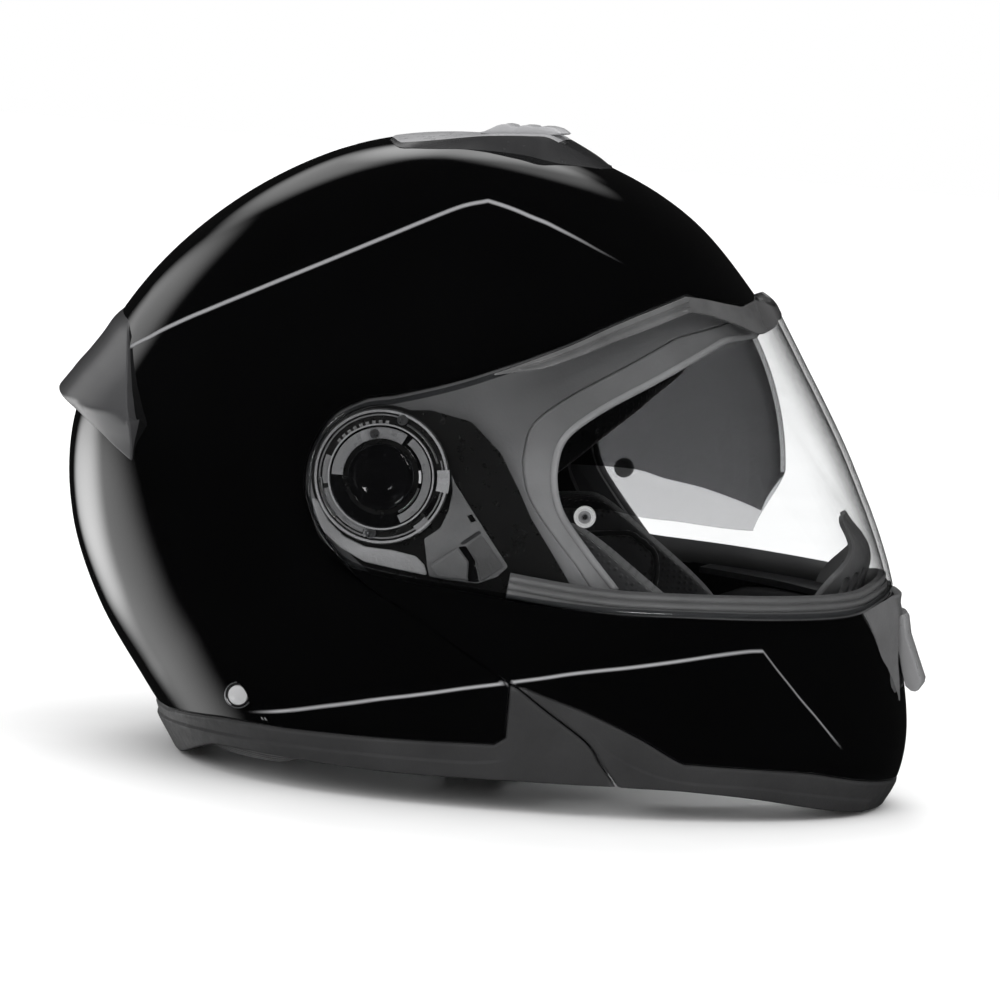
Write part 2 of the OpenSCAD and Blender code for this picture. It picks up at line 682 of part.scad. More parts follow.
// front view [y, z]
deflector_outline = curve([[-46, 80], [-44, 86], [-30, 96], [-17, 112], [-9, 115], [0, 115.6],
  [9, 115], [17, 112], [30, 96], [44, 86], [46, 80]]);
module deflector_form(inset = 0) {
  body(173.5 - inset, 2, 116 - inset, steps = 120, rows = 12);
}
module breath_deflector() {
  color([0.035, 0.035, 0.037]) one_mesh() difference() {
    intersection() {
      deflector_form();
      front_prism(90, 90, deflector_outline);
    }
    deflector_form(2.3);
    // three slots on each side
    for (s = [-1, 1])
      for (i = [0:2])
        translate([120, s * (16 + i * 7) - 1.4, 83]) cube([60, 2.8, 7]);
  }
}

module chin_curtain() {
  color([0.045, 0.045, 0.05]) one_mesh() difference() {
    intersection() {
      chin_form(-9.6, -6);
      side_prism([[84, 17.6], [155, 11.2], [190, 8], [190, 9.8], [155, 13], [84, 19.4]]);
    }
    chin_form(-44, -34);
    sweep_space();
  }
}

gasket_outline = concat(shifted(drop(shield_low, 10), [0, 0.4]),
  [[185, 88], [185, 93], [158, 91.5], [142, 88.6], [105, 87.4], [52, 88], [30, 90], [22, 88.5]]);
module lower_gasket() {
  color([0.2, 0.2, 0.21]) one_mesh() difference() {
    intersection() {
      shield_form(-shield_thickness - 0.5, -shield_thickness - 0.5);
      side_prism(gasket_outline);
    }
    shield_form(-6.2, -5.4);
  }
}

module release_button() {
  color([0.45, 0.05, 0.04]) {
    mid_block(139, 2.4, [10, 28, 6.4]);
    for (i = [0:3]) mid_block(140.5 + i * 2.2, 1.4, [1, 22, 1]);
  }
}

module pivot_bush() {
  difference() {
    cyl_y(bush_radius, 120.8, 124.4, fn = 96);
    cyl_y(boss_radius + run_clearance, 120, 125, fn = 96);
  }
}
module pivot_bush_left() { color([0.75, 0.75, 0.72]) pivot_bush(); }
module pivot_bush_right() { color([0.75, 0.75, 0.72]) mirror([0, 1, 0]) pivot_bush(); }

screws = [for (a = [20, 125, 200, 305]) around(hinge, 23.6, a)];
module base_plate() {
  difference() {
    union() {
      cyl_y(plate_radius, plate_inner, plate_outer, fn = 96);
      cyl_y(collar_radius, plate_outer, 127.2, fn = 96);
    }
    cyl_y(bush_radius + 0.2, 123, 124.7);
    cyl_y(cap_radius + 0.15, plate_outer, 130);
    for (at = screws) cyl_y(1.7, 123, 127, at, 24);
  }
  // slotted screw heads in the outer holes
  for (at = screws)
    difference() {
      cyl_y(1.9, 124.2, 125.9, at, 24);
      translate([at[0] - 1.5, plate_outer, at[1] - 0.3]) cube([3, 2, 0.6]);
    }
}
module base_plate_left() { color([0.35, 0.35, 0.36]) base_plate(); }
module base_plate_right() { color([0.35, 0.35, 0.36]) mirror([0, 1, 0]) base_plate(); }

// plate that fills the corner between the hinge and the shield's lower edge
cover_outline = [[-3, 117], [-1, 124], [3, 122], [14, 96], [19, 89], [8, 86.5], [-14, 87.8],
  [-24, 90], [-16, 94.5], [-7, 104]];
module side_cover() {
  one_mesh() difference() {
    intersection() {
      chin_form_to(125);
      side_prism(cover_outline);
      left_half();
    }
    chin_form_to(123.7);
    translate([0.4, 100, 107.6]) cube([2.6, 40, 2.6]);
    cyl_y(plate_radius + 0.3, 100, 140);
  }
}
module side_cover_left() { color([0.42, 0.42, 0.43]) side_cover(); }
module side_cover_right() { color([0.42, 0.42, 0.43]) mirror([0, 1, 0]) side_cover(); }

cap_profile = [[0, 0], [cap_radius, 0], [cap_radius, 1.3], [10.4, 1.9], [9.4, 1.5], [8.4, 1.5],
  [7.6, 2.1], [5.6, 2.25], [4.8, 1.8], [0, 1.8]];
module pivot_cap() {
  difference() {
    turned_y(hinge, plate_outer + 0.05, cap_profile, fn = 96);
    // crossed slots
    for (a = [0, 90])
      translate([hinge[0], 127, hinge[1]]) rotate([0, a + 20, 0])
        translate([-3.4, 0, -0.5]) cube([6.8, 2, 1]);
  }
}
module pivot_cap_left() { color([0.03, 0.03, 0.03]) pivot_cap(); }
module pivot_cap_right() { color([0.03, 0.03, 0.03]) mirror([0, 1, 0]) pivot_cap(); }

// arc plate about the hinge, just outside the latch pin's centre
latch_reach = norm(latch - hinge);
latch_angle = atan2(latch[1] - hinge[1], latch[0] - hinge[0]);
module latch_hook() {
  translate([0, 104.4, 0]) rotate([-90, 0, 0]) mirror([0, 1, 0]) linear_extrude(1.4)
    difference() {
      intersection() {
        translate(hinge) difference() {
          circle(r = latch_reach + 6, $fn = 160);
          circle(r = latch_reach + 1.2, $fn = 160);
        }
        translate(hinge) rotate(latch_angle) polygon([[0, 0], [150, -8], [150, 12]]);
      }
      translate(latch) circle(r = latch_pin_radius + 0.4, $fn = 32);
    }
}
module latch_hook_left() { color([0.6, 0.6, 0.62]) latch_hook(); }
module latch_hook_right() { color([0.6, 0.6, 0.62]) mirror([0, 1, 0]) latch_hook(); }

// ---- shield group --------------------------------------------------------
shield_outline = concat([[-59, 122]], shield_top,
  [[80, 193.6], [91, 192.8], [106, 194], [140, 194], [190, 88], [162, 86.4]],
  reversed(shield_low));
module shield() {
  color([0.8, 0.85, 0.88, 0.35]) one_mesh() difference() {
    intersection() {
      shield_form();
      side_prism(shield_outline);
    }
    shield_form(-shield_thickness, -shield_thickness);
  }
}

ring_y = 125.6;
ring_height = 1.1;
module shield_ring() {
  difference() {
    union() {
      cyl_y(20, ring_y, ring_y + ring_height, fn = 72);
      // detent teeth
      for (i = [0:ring_teeth - 1])
        translate([hinge[0], ring_y, hinge[1]]) rotate([0, -95 - i * 9, 0])
          translate([19, 0, -0.9]) cube([2.4, ring_height, 1.8]);
    }
    cyl_y(collar_radius + run_clearance, 125, 128, fn = 96);
    for (a = [40, 160, 280]) cyl_y(1.2, 125, 128, around(hinge, 17, a), 20);
  }
}
module shield_ring_left() { color([0.6, 0.6, 0.6]) shield_ring(); }
module shield_ring_right() { color([0.6, 0.6, 0.6]) mirror([0, 1, 0]) shield_ring(); }

module shield_pin() {
  turned_y([44, 113], 112.6,
    [[0, 0], [3.2, 0], [4, 0.6], [4, 1.8], [2.6, 2.2], [2.6, 4.4], [0, 4.4]], fn = 40);
}
module shield_pin_left() { color([0.7, 0.72, 0.74]) shield_pin(); }
module shield_pin_right() { color([0.7, 0.72, 0.74]) mirror([0, 1, 0]) shield_pin(); }

shell();
eyeport_frame();
eps_liner();
crown_liner();
cheek_pad_left();
cheek_pad_right();
neck_roll();
base_trim();
rear_spoiler();
top_vent_housing();
top_vent_slider();
hinge_mount_left();
hinge_mount_right();
latch_pin_left();
latch_pin_right();
strap_rivet_left();
strap_rivet_right();
strap_anchor_left();
strap_anchor_right();
chin_strap_left();
chin_strap_right();
buckle_frame();
buckle_tongue();
buckle_lever();
visor_pivot_left();
visor_pivot_right();
sun_visor();
visor_slider();
chin_bar();
chin_liner();
chin_trim();
chin_vent_housing();
chin_vent_slider();
breath_deflector();
chin_curtain();
lower_gasket();
release_button();
pivot_bush_left();
pivot_bush_right();
base_plate_left();
base_plate_right();
side_cover_left();
side_cover_right();
pivot_cap_left();
pivot_cap_right();
latch_hook_left();
latch_hook_right();
shield();
shield_ring_left();
shield_ring_right();
shield_pin_left();
shield_pin_right();
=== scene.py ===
"""A full-face helmet with a hinged chin bar, a clear face shield and a drop-down sun visor.

The front is +X, the wearer's left is +Y and up is +Z; the helmet stands on z = 0. Shapes are given
in millimetres, in side view (x, z) on the right-hand (-Y) half, and are laid on smooth closed
surfaces round the hinge axis. Meshes are written out in metres.
"""
import math
import random
from collections import defaultdict

import bmesh
import bpy
import numpy as np
from mathutils import Matrix, Vector, kdtree
from mathutils.bvhtree import BVHTree
from mathutils.geometry import delaunay_2d_cdt


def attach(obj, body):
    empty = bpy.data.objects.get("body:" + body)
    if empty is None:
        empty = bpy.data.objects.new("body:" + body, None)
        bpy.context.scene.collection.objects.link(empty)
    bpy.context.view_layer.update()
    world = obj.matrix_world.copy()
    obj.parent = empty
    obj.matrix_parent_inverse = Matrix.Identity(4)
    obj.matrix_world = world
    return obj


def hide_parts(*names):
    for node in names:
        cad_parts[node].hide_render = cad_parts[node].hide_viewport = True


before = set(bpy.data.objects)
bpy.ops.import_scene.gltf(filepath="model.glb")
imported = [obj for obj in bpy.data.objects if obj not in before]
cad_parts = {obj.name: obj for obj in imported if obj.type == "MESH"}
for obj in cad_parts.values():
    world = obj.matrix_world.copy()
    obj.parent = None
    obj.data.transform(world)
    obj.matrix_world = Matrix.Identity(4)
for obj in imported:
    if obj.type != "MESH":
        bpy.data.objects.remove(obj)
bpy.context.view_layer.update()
random.seed(11)

MM = 0.001
SIDES = (("left", 1), ("right", -1))
HINGE = (-32.0, 122.0)          # chin bar and shield axis, x and z
VISOR_AXIS = (0.0, 120.0)       # sun visor axis, x and z
PANEL_STEP = 4.2   # spacing of the points that fill a large panel
CENTRE = 90.0                   # polar-plane distance of the centre line, degrees

# bodies the pieces ride on
HELMET, CHIN_BAR, FACE_SHIELD = "helmet_shell", "chin_bar", "face_shield"


# ---------------------------------------------------------------- curves
def ease(t):
    t = np.clip(t, 0, 1)
    return t * t * (3 - 2 * t)


def interpolate(table, angles):
    """Smooth closed curve through (degrees, value) rows; a bare number stays constant."""
    angles = np.asarray(angles, float)
    if np.isscalar(table):
        return np.full(angles.shape, float(table))
    rows = np.array(table, float)
    first = rows[0, 0]
    angles = (angles - first) % 360 + first
    knots = np.concatenate([[rows[-1, 0] - 360], rows[:, 0], [rows[0, 0] + 360, rows[1, 0] + 360]])
    values = np.concatenate([[rows[-1, 1]], rows[:, 1], [rows[0, 1], rows[1, 1]]])
    i = np.clip(np.searchsorted(knots, angles, side="right") - 1, 1, len(knots) - 3)
    gap = knots[i + 1] - knots[i]
    t = (angles - knots[i]) / gap
    slope0 = (values[i + 1] - values[i - 1]) / (knots[i + 1] - knots[i - 1])
    slope1 = (values[i + 2] - values[i]) / (knots[i + 2] - knots[i])
    return (values[i] * (2 * t**3 - 3 * t**2 + 1) + slope0 * gap * (t**3 - 2 * t**2 + t)
            + values[i + 1] * (3 * t**2 - 2 * t**3) + slope1 * gap * (t**3 - t**2))


def unit(rows):
    return rows / np.linalg.norm(rows, axis=1)[:, None]


def arc_length(points):
    return np.concatenate([[0], np.cumsum(np.linalg.norm(np.diff(points, axis=0), axis=1))])


def resample(points, step):
    points = np.array(points, float)
    run = arc_length(points)
    count = max(1, int(round(run[-1] / step)))
    t = np.linspace(0, run[-1], count + 1)
    return np.stack([np.interp(t, run, points[:, k]) for k in range(points.shape[1])], 1)


def spline(points, step=1.2):
    """Catmull-Rom through the points, then resampled to even steps."""
    p = np.array(points, float)
    p = np.vstack([2 * p[0] - p[1], p, 2 * p[-1] - p[-2]])
    out = []
    for i in range(1, len(p) - 2):
        a, b, c, d = p[i - 1], p[i], p[i + 1], p[i + 2]
        for t in np.arange(0, 1, 0.05):
            out.append(0.5 * (2 * b + (c - a) * t + (2 * a - 5 * b + 4 * c - d) * t**2
                              + (3 * b - a - 3 * c + d) * t**3))
    out.append(p[-2])
    return resample(np.array(out), step)


def round_loop(points, radius, step):
    """Closed outline with its corners rounded to about the radius, evenly stepped."""
    points = np.array(points, float)
    out = []
    for i, corner in enumerate(points):
        back = points[i - 1] - corner
        ahead = points[(i + 1) % len(points)] - corner
        back_len, ahead_len = np.linalg.norm(back), np.linalg.norm(ahead)
        if back_len < 1e-6 or ahead_len < 1e-6:
            continue
        angle = math.acos(max(-1, min(1, float(back @ ahead) / back_len / ahead_len)))
        if angle > math.radians(172):
            out.append(corner)
            continue
        cut = min(radius / math.tan(angle / 2), 0.45 * back_len, 0.45 * ahead_len)
        start, end = corner + back / back_len * cut, corner + ahead / ahead_len * cut
        for t in np.linspace(0, 1, 6):
            out.append((1 - t) ** 2 * start + 2 * t * (1 - t) * corner + t * t * end)
    out.append(out[0])
    return resample(np.array(out), step)[:-1]


def inset_loop(points, distance):
    across = np.roll(points, -1, 0) - np.roll(points, 1, 0)
    normal = np.stack([-across[:, 1], across[:, 0]], 1)
    normal /= np.maximum(np.linalg.norm(normal, axis=1), 1e-9)[:, None]
    if ((points.mean(0) - points) * normal).sum() < 0:
        normal = -normal
    return points + normal * distance


def union_with_disc(polygon, centre, radius):
    """Outline of a polygon, star-shaped about the centre, joined with a disc."""
    polygon = np.array(polygon, float)
    out = []
    for angle in np.radians(np.arange(0, 360, 1.5)):
        ray = np.array([math.cos(angle), math.sin(angle)])
        best = radius
        for i in range(len(polygon)):
            start = polygon[i] - centre
            edge = polygon[(i + 1) % len(polygon)] - centre - start
            det = ray[0] * edge[1] - ray[1] * edge[0]
            if abs(det) < 1e-9:
                continue
            reach = (start[0] * edge[1] - start[1] * edge[0]) / det
            along = (start[0] * ray[1] - start[1] * ray[0]) / det
            if reach > 0 and -1e-9 <= along <= 1 + 1e-9:
                best = max(best, reach)
        out.append(centre + ray * best)
    return np.array(out)


def inside(polygon, points):
    x, y = points[:, 0], points[:, 1]
    result = np.zeros(len(points), bool)
    for (x0, y0), (x1, y1) in zip(polygon, np.roll(polygon, -1, axis=0)):
        if y0 == y1:
            continue
        crosses = (y0 > y) != (y1 > y)
        result ^= crosses & (x < (x1 - x0) * (y - y0) / (y1 - y0) + x0)
    return result


def tree_of(points):
    tree = kdtree.KDTree(len(points))
    for i, point in enumerate(points):
        tree.insert(Vector(point), i)
    tree.balance()
    return tree


def distances(tree, points):
    """Distance from each point, folded onto the right side, to a tree."""
    return np.array([tree.find((x, -abs(y), z))[2] for x, y, z in points])


def ray(phi, distance):
    """Polar-plane place at an angle in degrees and a distance in degrees."""
    return distance * math.cos(math.radians(phi)), distance * math.sin(math.radians(phi))


# ---------------------------------------------------------------- surfaces
class Surface:
    """A closed surface round a cross axis: r = R sin^(2/p), y = W cos^(2/p).

    Its polar plane (q) measures degrees away from the axis: 0 at the side, 90 on the centre line.
    R, p and W are tables over the direction angle, or numbers.
    """
    HUB_WIDTH = 119.2            # half width near the axis when the width is a table
    HUB_RADIUS, HUB_BLEND = 26.0, 22.0

    def __init__(self, radius, power, width, swell=0.0, widen=0.0, centre=HINGE):
        self.widen, self.centre = widen, centre
        self.hub = width if np.isscalar(width) else self.HUB_WIDTH
        angles = np.arange(0, 360.25, 0.25)   # four entries a degree
        self.tables = (interpolate(radius, angles) + swell, interpolate(power, angles),
                       interpolate(width, angles))

    def look_up(self, phi):
        """Radius, power and half width in the given directions."""
        place = (phi % 360) * 4
        i = np.floor(place).astype(int) % 1440
        t = place - np.floor(place)
        return [table[i] * (1 - t) + table[i + 1] * t for table in self.tables]

    def half_width(self, r, width):
        blend = ease((r - self.HUB_RADIUS) / self.HUB_BLEND)
        return self.hub + (width - self.hub) * blend + self.widen

    def around(self, x, z):
        dx, dz = x - self.centre[0], z - self.centre[1]
        return np.hypot(dx, dz), np.degrees(np.arctan2(dz, dx))

    def at(self, q):
        """Points in mm, on the -Y side, for N x 2 polar-plane places."""
        q = np.asarray(q, float)
        lean = np.radians(np.clip(np.hypot(q[:, 0], q[:, 1]), 0, CENTRE))
        phi = np.degrees(np.arctan2(q[:, 1], q[:, 0]))
        radius, power, width = self.look_up(phi)
        r = radius * np.sin(lean) ** (2 / power)
        y = self.half_width(r, width) * np.clip(np.cos(lean), 0, 1) ** (2 / power)
        y[np.degrees(lean) > 89.9999] = 0
        a = np.radians(phi)
        return np.stack([self.centre[0] + r * np.cos(a), -y, self.centre[1] + r * np.sin(a)], 1)

    def to_polar(self, xz):
        """Polar-plane places of side-view points."""
        xz = np.asarray(xz, float)
        r, phi = self.around(xz[:, 0], xz[:, 1])
        radius, power, _ = self.look_up(phi)
        lean = np.degrees(np.arcsin(np.clip(r / radius, 0, 1) ** (power / 2)))
        return np.stack([lean * np.cos(np.radians(phi)), lean * np.sin(np.radians(phi))], 1)

    def level(self, points):
        """Below 1 inside the surface, above 1 outside."""
        r, phi = self.around(points[:, 0], points[:, 2])
        radius, power, width = self.look_up(phi)
        y = np.abs(points[:, 1]) / self.half_width(r, width)
        return (r / radius) ** power + y ** power

    def normal(self, points, h=0.25):
        normals = np.zeros_like(points)
        for k in range(3):
            nudge = np.zeros(3)
            nudge[k] = h
            normals[:, k] = self.level(points + nudge) - self.level(points - nudge)
        near = self.around(points[:, 0], points[:, 2])[0] < 1.0
        normals[near] = [0, -1, 0]
        return unit(normals)

    def slopes(self, q, h=1e-3):
        """How the point moves, in mm a degree, along each polar-plane axis."""
        return [(self.at(q + d) - self.at(q - d)) / (2 * h) for d in ([h, 0], [0, h])]

    def bisect(self, point_at, low, high, rounds):
        """Brackets where a line of points leaves the surface."""
        for _ in range(rounds):
            middle = 0.5 * (low + high)
            if self.level(np.array([point_at(middle)]))[0] < 1:
                low = middle
            else:
                high = middle
        return low, high

    def polar_at(self, y, z):
        """Polar-plane place of the front point at a width and height."""
        start = self.centre[0]
        x = 0.5 * sum(self.bisect(lambda m: (m, -abs(y), z), start + 1, start + 260.0, 60))
        dx, dz = x - start, z - self.centre[1]
        phi = math.degrees(math.atan2(dz, dx))
        radius, power = (float(v[0]) for v in self.look_up(np.array([phi]))[:2])
        lean = math.degrees(math.asin(min(1, math.hypot(dx, dz) / radius) ** (power / 2)))
        return ray(phi, CENTRE if abs(y) < 1e-6 else lean)


# radius tables: direction from the axis in degrees (0 front, 90 up), radius in mm
SHELL_RADIUS = [
    (-30, 228), (-12, 196), (10, 158), (30, 146.5), (45, 141.7), (60, 135.6), (75, 130),
    (90, 125.8), (105, 123.2), (120, 121.4), (135, 121.9), (150, 125), (165, 129.8), (180, 135),
    (195, 136.8), (210, 136.9), (225, 138.6), (240, 148), (255, 167), (270, 188), (285, 206),
    (300, 222), (315, 231)]
CHIN_RADIUS = [
    (-33, 230), (-29, 229), (-25, 223.5), (-20, 212.5), (-16, 203.5), (-12, 196), (0, 190),
    (30, 190), (90, 190), (150, 180), (195, 160), (225, 150), (240, 155), (255, 169), (270, 188),
    (285, 206), (300, 222), (315, 231)]
SHIELD_RADIUS = [
    (-30, 218), (-20, 209), (-10.7, 195.4), (-4.5, 184.6), (0.2, 176.8), (5.3, 169.8),
    (10.9, 163.2), (16.9, 157.8), (23.3, 154.2), (30, 152.6), (45, 152), (70, 151), (110, 152),
    (180, 165), (270, 200), (310, 216)]
SPOILER_RADIUS = [
    (-30, 228), (10, 158), (60, 135.6), (105, 123), (138, 120.5), (148, 122.6), (156, 125.4),
    (160, 129.3), (163.5, 131.2), (167.2, 134.3), (169.5, 137), (171.5, 139.2), (173.5, 141.8),
    (174.6, 142.6), (176.2, 140.4), (180, 136.4), (190, 136.6), (225, 140), (255, 169), (315, 231)]
CHIN_VENT_RADIUS = [
    (-33, 224), (-27, 226.5), (-24, 226), (-20.2, 219.8), (-15.8, 208), (-11.7, 201.3), (-9, 190),
    (0, 160), (90, 120), (180, 120), (270, 140), (310, 200)]
DEFLECTOR_RADIUS = [
    (-30, 180), (-14, 183), (-10, 184.2), (-8, 184), (-6.4, 182), (-5, 178), (-3.4, 172.4),
    (0, 168), (30, 165), (180, 165), (270, 170), (315, 180)]
# roundness tables: direction in degrees, power (2 is an ellipse, more is boxier)
SHELL_POWER = [(-30, 2.0), (0, 2.1), (30, 2.5), (60, 2.45), (90, 2.35), (130, 2.3), (180, 2.25),
               (225, 2.3), (270, 2.4), (300, 2.25)]
CHIN_POWER = [(-30, 2.0), (0, 2.0), (30, 2.1), (90, 2.2), (180, 2.2), (270, 2.4), (300, 2.25)]
SHIELD_POWER = [(-30, 2.0), (0, 2.1), (30, 2.15), (70, 2.1), (180, 2.1)]
# half width of the shell: direction in degrees, mm
SHELL_WIDTH = [(-60, 129.5), (-40, 129.5), (0, 120), (25, 119), (60, 119), (100, 119.4),
               (120, 122), (145, 125.5), (180, 126), (210, 127.5), (232, 129.5), (270, 129.5)]
CHIN_WIDTH, SHIELD_WIDTH, RECESS_WIDTH = 129.5, 130.8, 117.5
TRIM_PROUD = 0.5                 # edge trims stand this far out of their panels


def chin_surface(swell=0.0, widen=None):
    return Surface(CHIN_RADIUS, CHIN_POWER, CHIN_WIDTH, swell, swell if widen is None else widen)


shell_surface = Surface(SHELL_RADIUS, SHELL_POWER, SHELL_WIDTH)
recess_surface = Surface(SHELL_RADIUS, SHELL_POWER, RECESS_WIDTH, swell=-2.7)
trim_surface = Surface(SHELL_RADIUS, SHELL_POWER, SHELL_WIDTH, TRIM_PROUD, TRIM_PROUD)
spoiler_surface = Surface(SPOILER_RADIUS, SHELL_POWER, 127.2)
chin_outer = chin_surface()
cover_surface = chin_surface(-4.5)
shield_surface = Surface(SHIELD_RADIUS, SHIELD_POWER, SHIELD_WIDTH)
gasket_surface = Surface(SHIELD_RADIUS, SHIELD_POWER, SHIELD_WIDTH, -2.9, -2.9)
chin_vent_surface = Surface(CHIN_VENT_RADIUS, 2.0, 107)
visor_surface = Surface(114, 2.3, 102, centre=VISOR_AXIS)
deflector_surface = Surface(DEFLECTOR_RADIUS, 2.0, 116)


class Crease:
    """A soft step in a surface along a line; one side of the line stands proud."""

    def __init__(self, xz, surface, height, width, decay, ends, side):
        self.q = surface.to_polar(resample(xz, 0.7))
        self.points = surface.at(self.q)
        self.run = arc_length(self.points)
        self.tree = tree_of(self.points)
        tangent = unit(np.gradient(self.points, axis=0))
        self.side = np.cross(tangent, surface.normal(self.points)) * side
        self.height, self.width, self.decay, self.ends = height, width, decay, ends

    def __call__(self, points):
        """Displacement and closeness for N x 3 points; the closeness weights a highlight painted
        along the crease.
        """
        lift, close = np.zeros(len(points)), np.zeros(len(points))
        for i, (x, y, z) in enumerate(points):
            place = np.array([x, -abs(y), z])
            _, k, distance = self.tree.find(place)
            if distance > 4 * self.decay:
                continue
            across = float((place - self.points[k]) @ self.side[k])
            taper = 1.0
            if self.ends[0]:
                taper *= float(ease(self.run[k] / self.ends[0]))
            if self.ends[1]:
                taper *= float(ease((self.run[-1] - self.run[k]) / self.ends[1]))
            step = float(ease(across / self.width + 0.5))
            lift[i] = self.height * taper * step * math.exp(-(distance / self.decay) ** 2)
            close[i] = taper * float(1 - ease(distance / (self.width * 0.62)))
        return lift, close


# ---------------------------------------------------------------- meshes
def add_object(name, mesh):
    obj = bpy.data.objects.new(name, mesh)
    bpy.context.scene.collection.objects.link(obj)
    return obj


def shade_smooth(mesh):
    mesh.polygons.foreach_set("use_smooth", np.ones(len(mesh.polygons), bool))


def to_mesh(name, points, faces, materials, smooth=True):
    """Object from points in mm."""
    mesh = bpy.data.meshes.new(name)
    mesh.from_pydata([tuple(c * MM for c in point) for point in points], [],
                     [tuple(int(i) for i in face) for face in faces])
    mesh.validate()
    for material in materials:
        mesh.materials.append(material)
    if smooth:
        shade_smooth(mesh)
    mesh.update()
    return add_object(name, mesh)


def tidy(obj):
    """Turns all faces outwards."""
    bm = bmesh.new()
    bm.from_mesh(obj.data)
    bmesh.ops.recalc_face_normals(bm, faces=bm.faces)
    bm.to_mesh(obj.data)
    bm.free()
    obj.data.update()


def soft_edges(obj, angle):
    shade_smooth(obj.data)
    obj.data.set_sharp_from_angle(angle=math.radians(angle))


def ring_faces(count, size, closed=False):
    """Faces over a run of rings of points, capped at both ends unless the run is closed."""
    faces = []
    for i in range(count if closed else count - 1):
        here, there = i * size, (i + 1) % count * size
        for j in range(size):
            k = (j + 1) % size
            faces.append((here + j, there + j, there + k, here + k))
    if not closed:
        faces.append(tuple(range(size)))
        faces.append(tuple((count - 1) * size + j for j in range(size))[::-1])
    return faces


def loft(name, path, across, out, profile, material, closed=False):
    """Profile (across, out) placed at each point of a path."""
    shape = np.array(profile, float)
    points = (path[:, None, :] + shape[None, :, 0, None] * across[:, None, :]
              + shape[None, :, 1, None] * out[:, None, :])
    faces = ring_faces(len(path), len(shape), closed)
    obj = to_mesh(name, points.reshape(-1, 3), faces, [material])
    tidy(obj)
    return obj


def sweep(name, path, normals, profile, material, closed=False):
    """Profile carried along a path; across is path direction x outward normal."""
    tangent = unit(np.gradient(path, axis=0))
    across = unit(np.cross(tangent, normals))
    return loft(name, path, across, np.cross(across, tangent), profile, material, closed)


def circle(radius, count, stretch=1.0, shift=0.0):
    return [(shift + radius * math.cos(a), radius * stretch * math.sin(a))
            for a in np.linspace(0, 2 * math.pi, count, endpoint=False)]


def smooth_path(path, times):
    path = path.copy()
    for _ in range(times):
        path[1:-1] = 0.25 * path[:-2] + 0.5 * path[1:-1] + 0.25 * path[2:]
    return path


def bead(name, surface, xz, profile, material, off, step, smoothing, limit=89.5, closed=False):
    """Sweep along a side-view line that runs to the centre line and back on the other side."""
    q = surface.to_polar(xz)
    points = surface.at(q[np.hypot(q[:, 0], q[:, 1]) < limit])
    normals = surface.normal(points)
    points = points + normals * off
    points, normals = (np.vstack([a, a[::-1] * [1, -1, 1]]) for a in (points, normals))
    run = arc_length(points)
    moving = np.concatenate([[True], np.diff(run) > 1e-6])
    run = run[moving]
    t = np.linspace(0, run[-1], max(2, int(round(run[-1] / step)) + 1))
    points, normals = (np.stack([np.interp(t, run, a[moving][:, k]) for k in range(3)], 1)
                       for a in (points, normals))
    return sweep(name, smooth_path(points, smoothing), unit(normals), profile, material, closed)


# ---------------------------------------------------------------- panels
def sample_loop(surface, loop, polar, edge):
    """Outline in the polar plane, evenly spaced on the surface with sharp turns kept."""
    loop = np.array(loop, float)
    closed = np.vstack([loop, loop[:1]])
    q = resample(closed, 0.25)[:-1] if polar else surface.to_polar(resample(closed, 0.5)[:-1])
    reach = np.hypot(q[:, 0], q[:, 1])
    beyond = reach > 89.0
    q[beyond] *= (CENTRE / reach[beyond])[:, None]
    points = surface.at(q)
    run = arc_length(np.vstack([points, points[:1]]))
    kept = [0]
    for i in range(1, len(q)):
        before, after = q[i] - q[i - 1], q[(i + 1) % len(q)] - q[i]
        turn = 0
        if before @ before > 1e-12 and after @ after > 1e-12:
            turn = abs(math.atan2(before[0] * after[1] - before[1] * after[0], before @ after))
        gap = run[i] - run[kept[-1]]
        if gap >= edge or (turn > 0.35 and gap > 0.35):
            kept.append(i)
    if run[-1] - run[kept[-1]] < 0.4 * edge and len(kept) > 3:
        kept.pop()
    return q[kept]


def rim_tree(surface, loops):
    """Search tree of all rims, leaving out the centre line."""
    samples = []
    for q in loops:
        reach = np.hypot(q[:, 0], q[:, 1])
        for i in range(len(q)):
            j = (i + 1) % len(q)
            if reach[i] > 89.9 and reach[j] > 89.9:
                continue
            for t in range(4):
                samples.append(q[i] * (1 - t / 4) + q[j] * t / 4)
            samples.append(q[j])
    return tree_of(surface.at(np.array(samples)))


def rim_rings(surface, loops, fillet):
    """Places just inside the rims, with their distances from the rim."""
    offsets = [f * fillet for f in (0.12, 0.35, 0.65, 1.0, 1.6, 2.6)]
    places, depths = [], []
    for index, q in enumerate(loops):
        reach = np.hypot(q[:, 0], q[:, 1])
        along = np.roll(q, -1, 0) - np.roll(q, 1, 0)
        s0, s1 = surface.slopes(q)
        metric = np.stack([np.stack([(s0 * s0).sum(1), (s0 * s1).sum(1)], 1),
                           np.stack([(s0 * s1).sum(1), (s1 * s1).sum(1)], 1)], 1)
        area = 0.5 * np.sum(q[:, 0] * np.roll(q[:, 1], -1) - np.roll(q[:, 0], -1) * q[:, 1])
        inward = np.stack([-along[:, 1], along[:, 0]], 1) * (1 if area > 0 else -1)
        if index:                # a hole's material lies on the other side
            inward = -inward
        for i in range(len(q)):
            if reach[i] > 89.3:
                continue
            way = np.linalg.solve(metric[i] + np.eye(2) * 1e-9, inward[i])
            length = math.sqrt(max(1e-12, way @ metric[i] @ way))
            for offset in offsets:
                places.append(q[i] + way / length * offset)
                depths.append(offset)
    return np.array(places), np.array(depths)


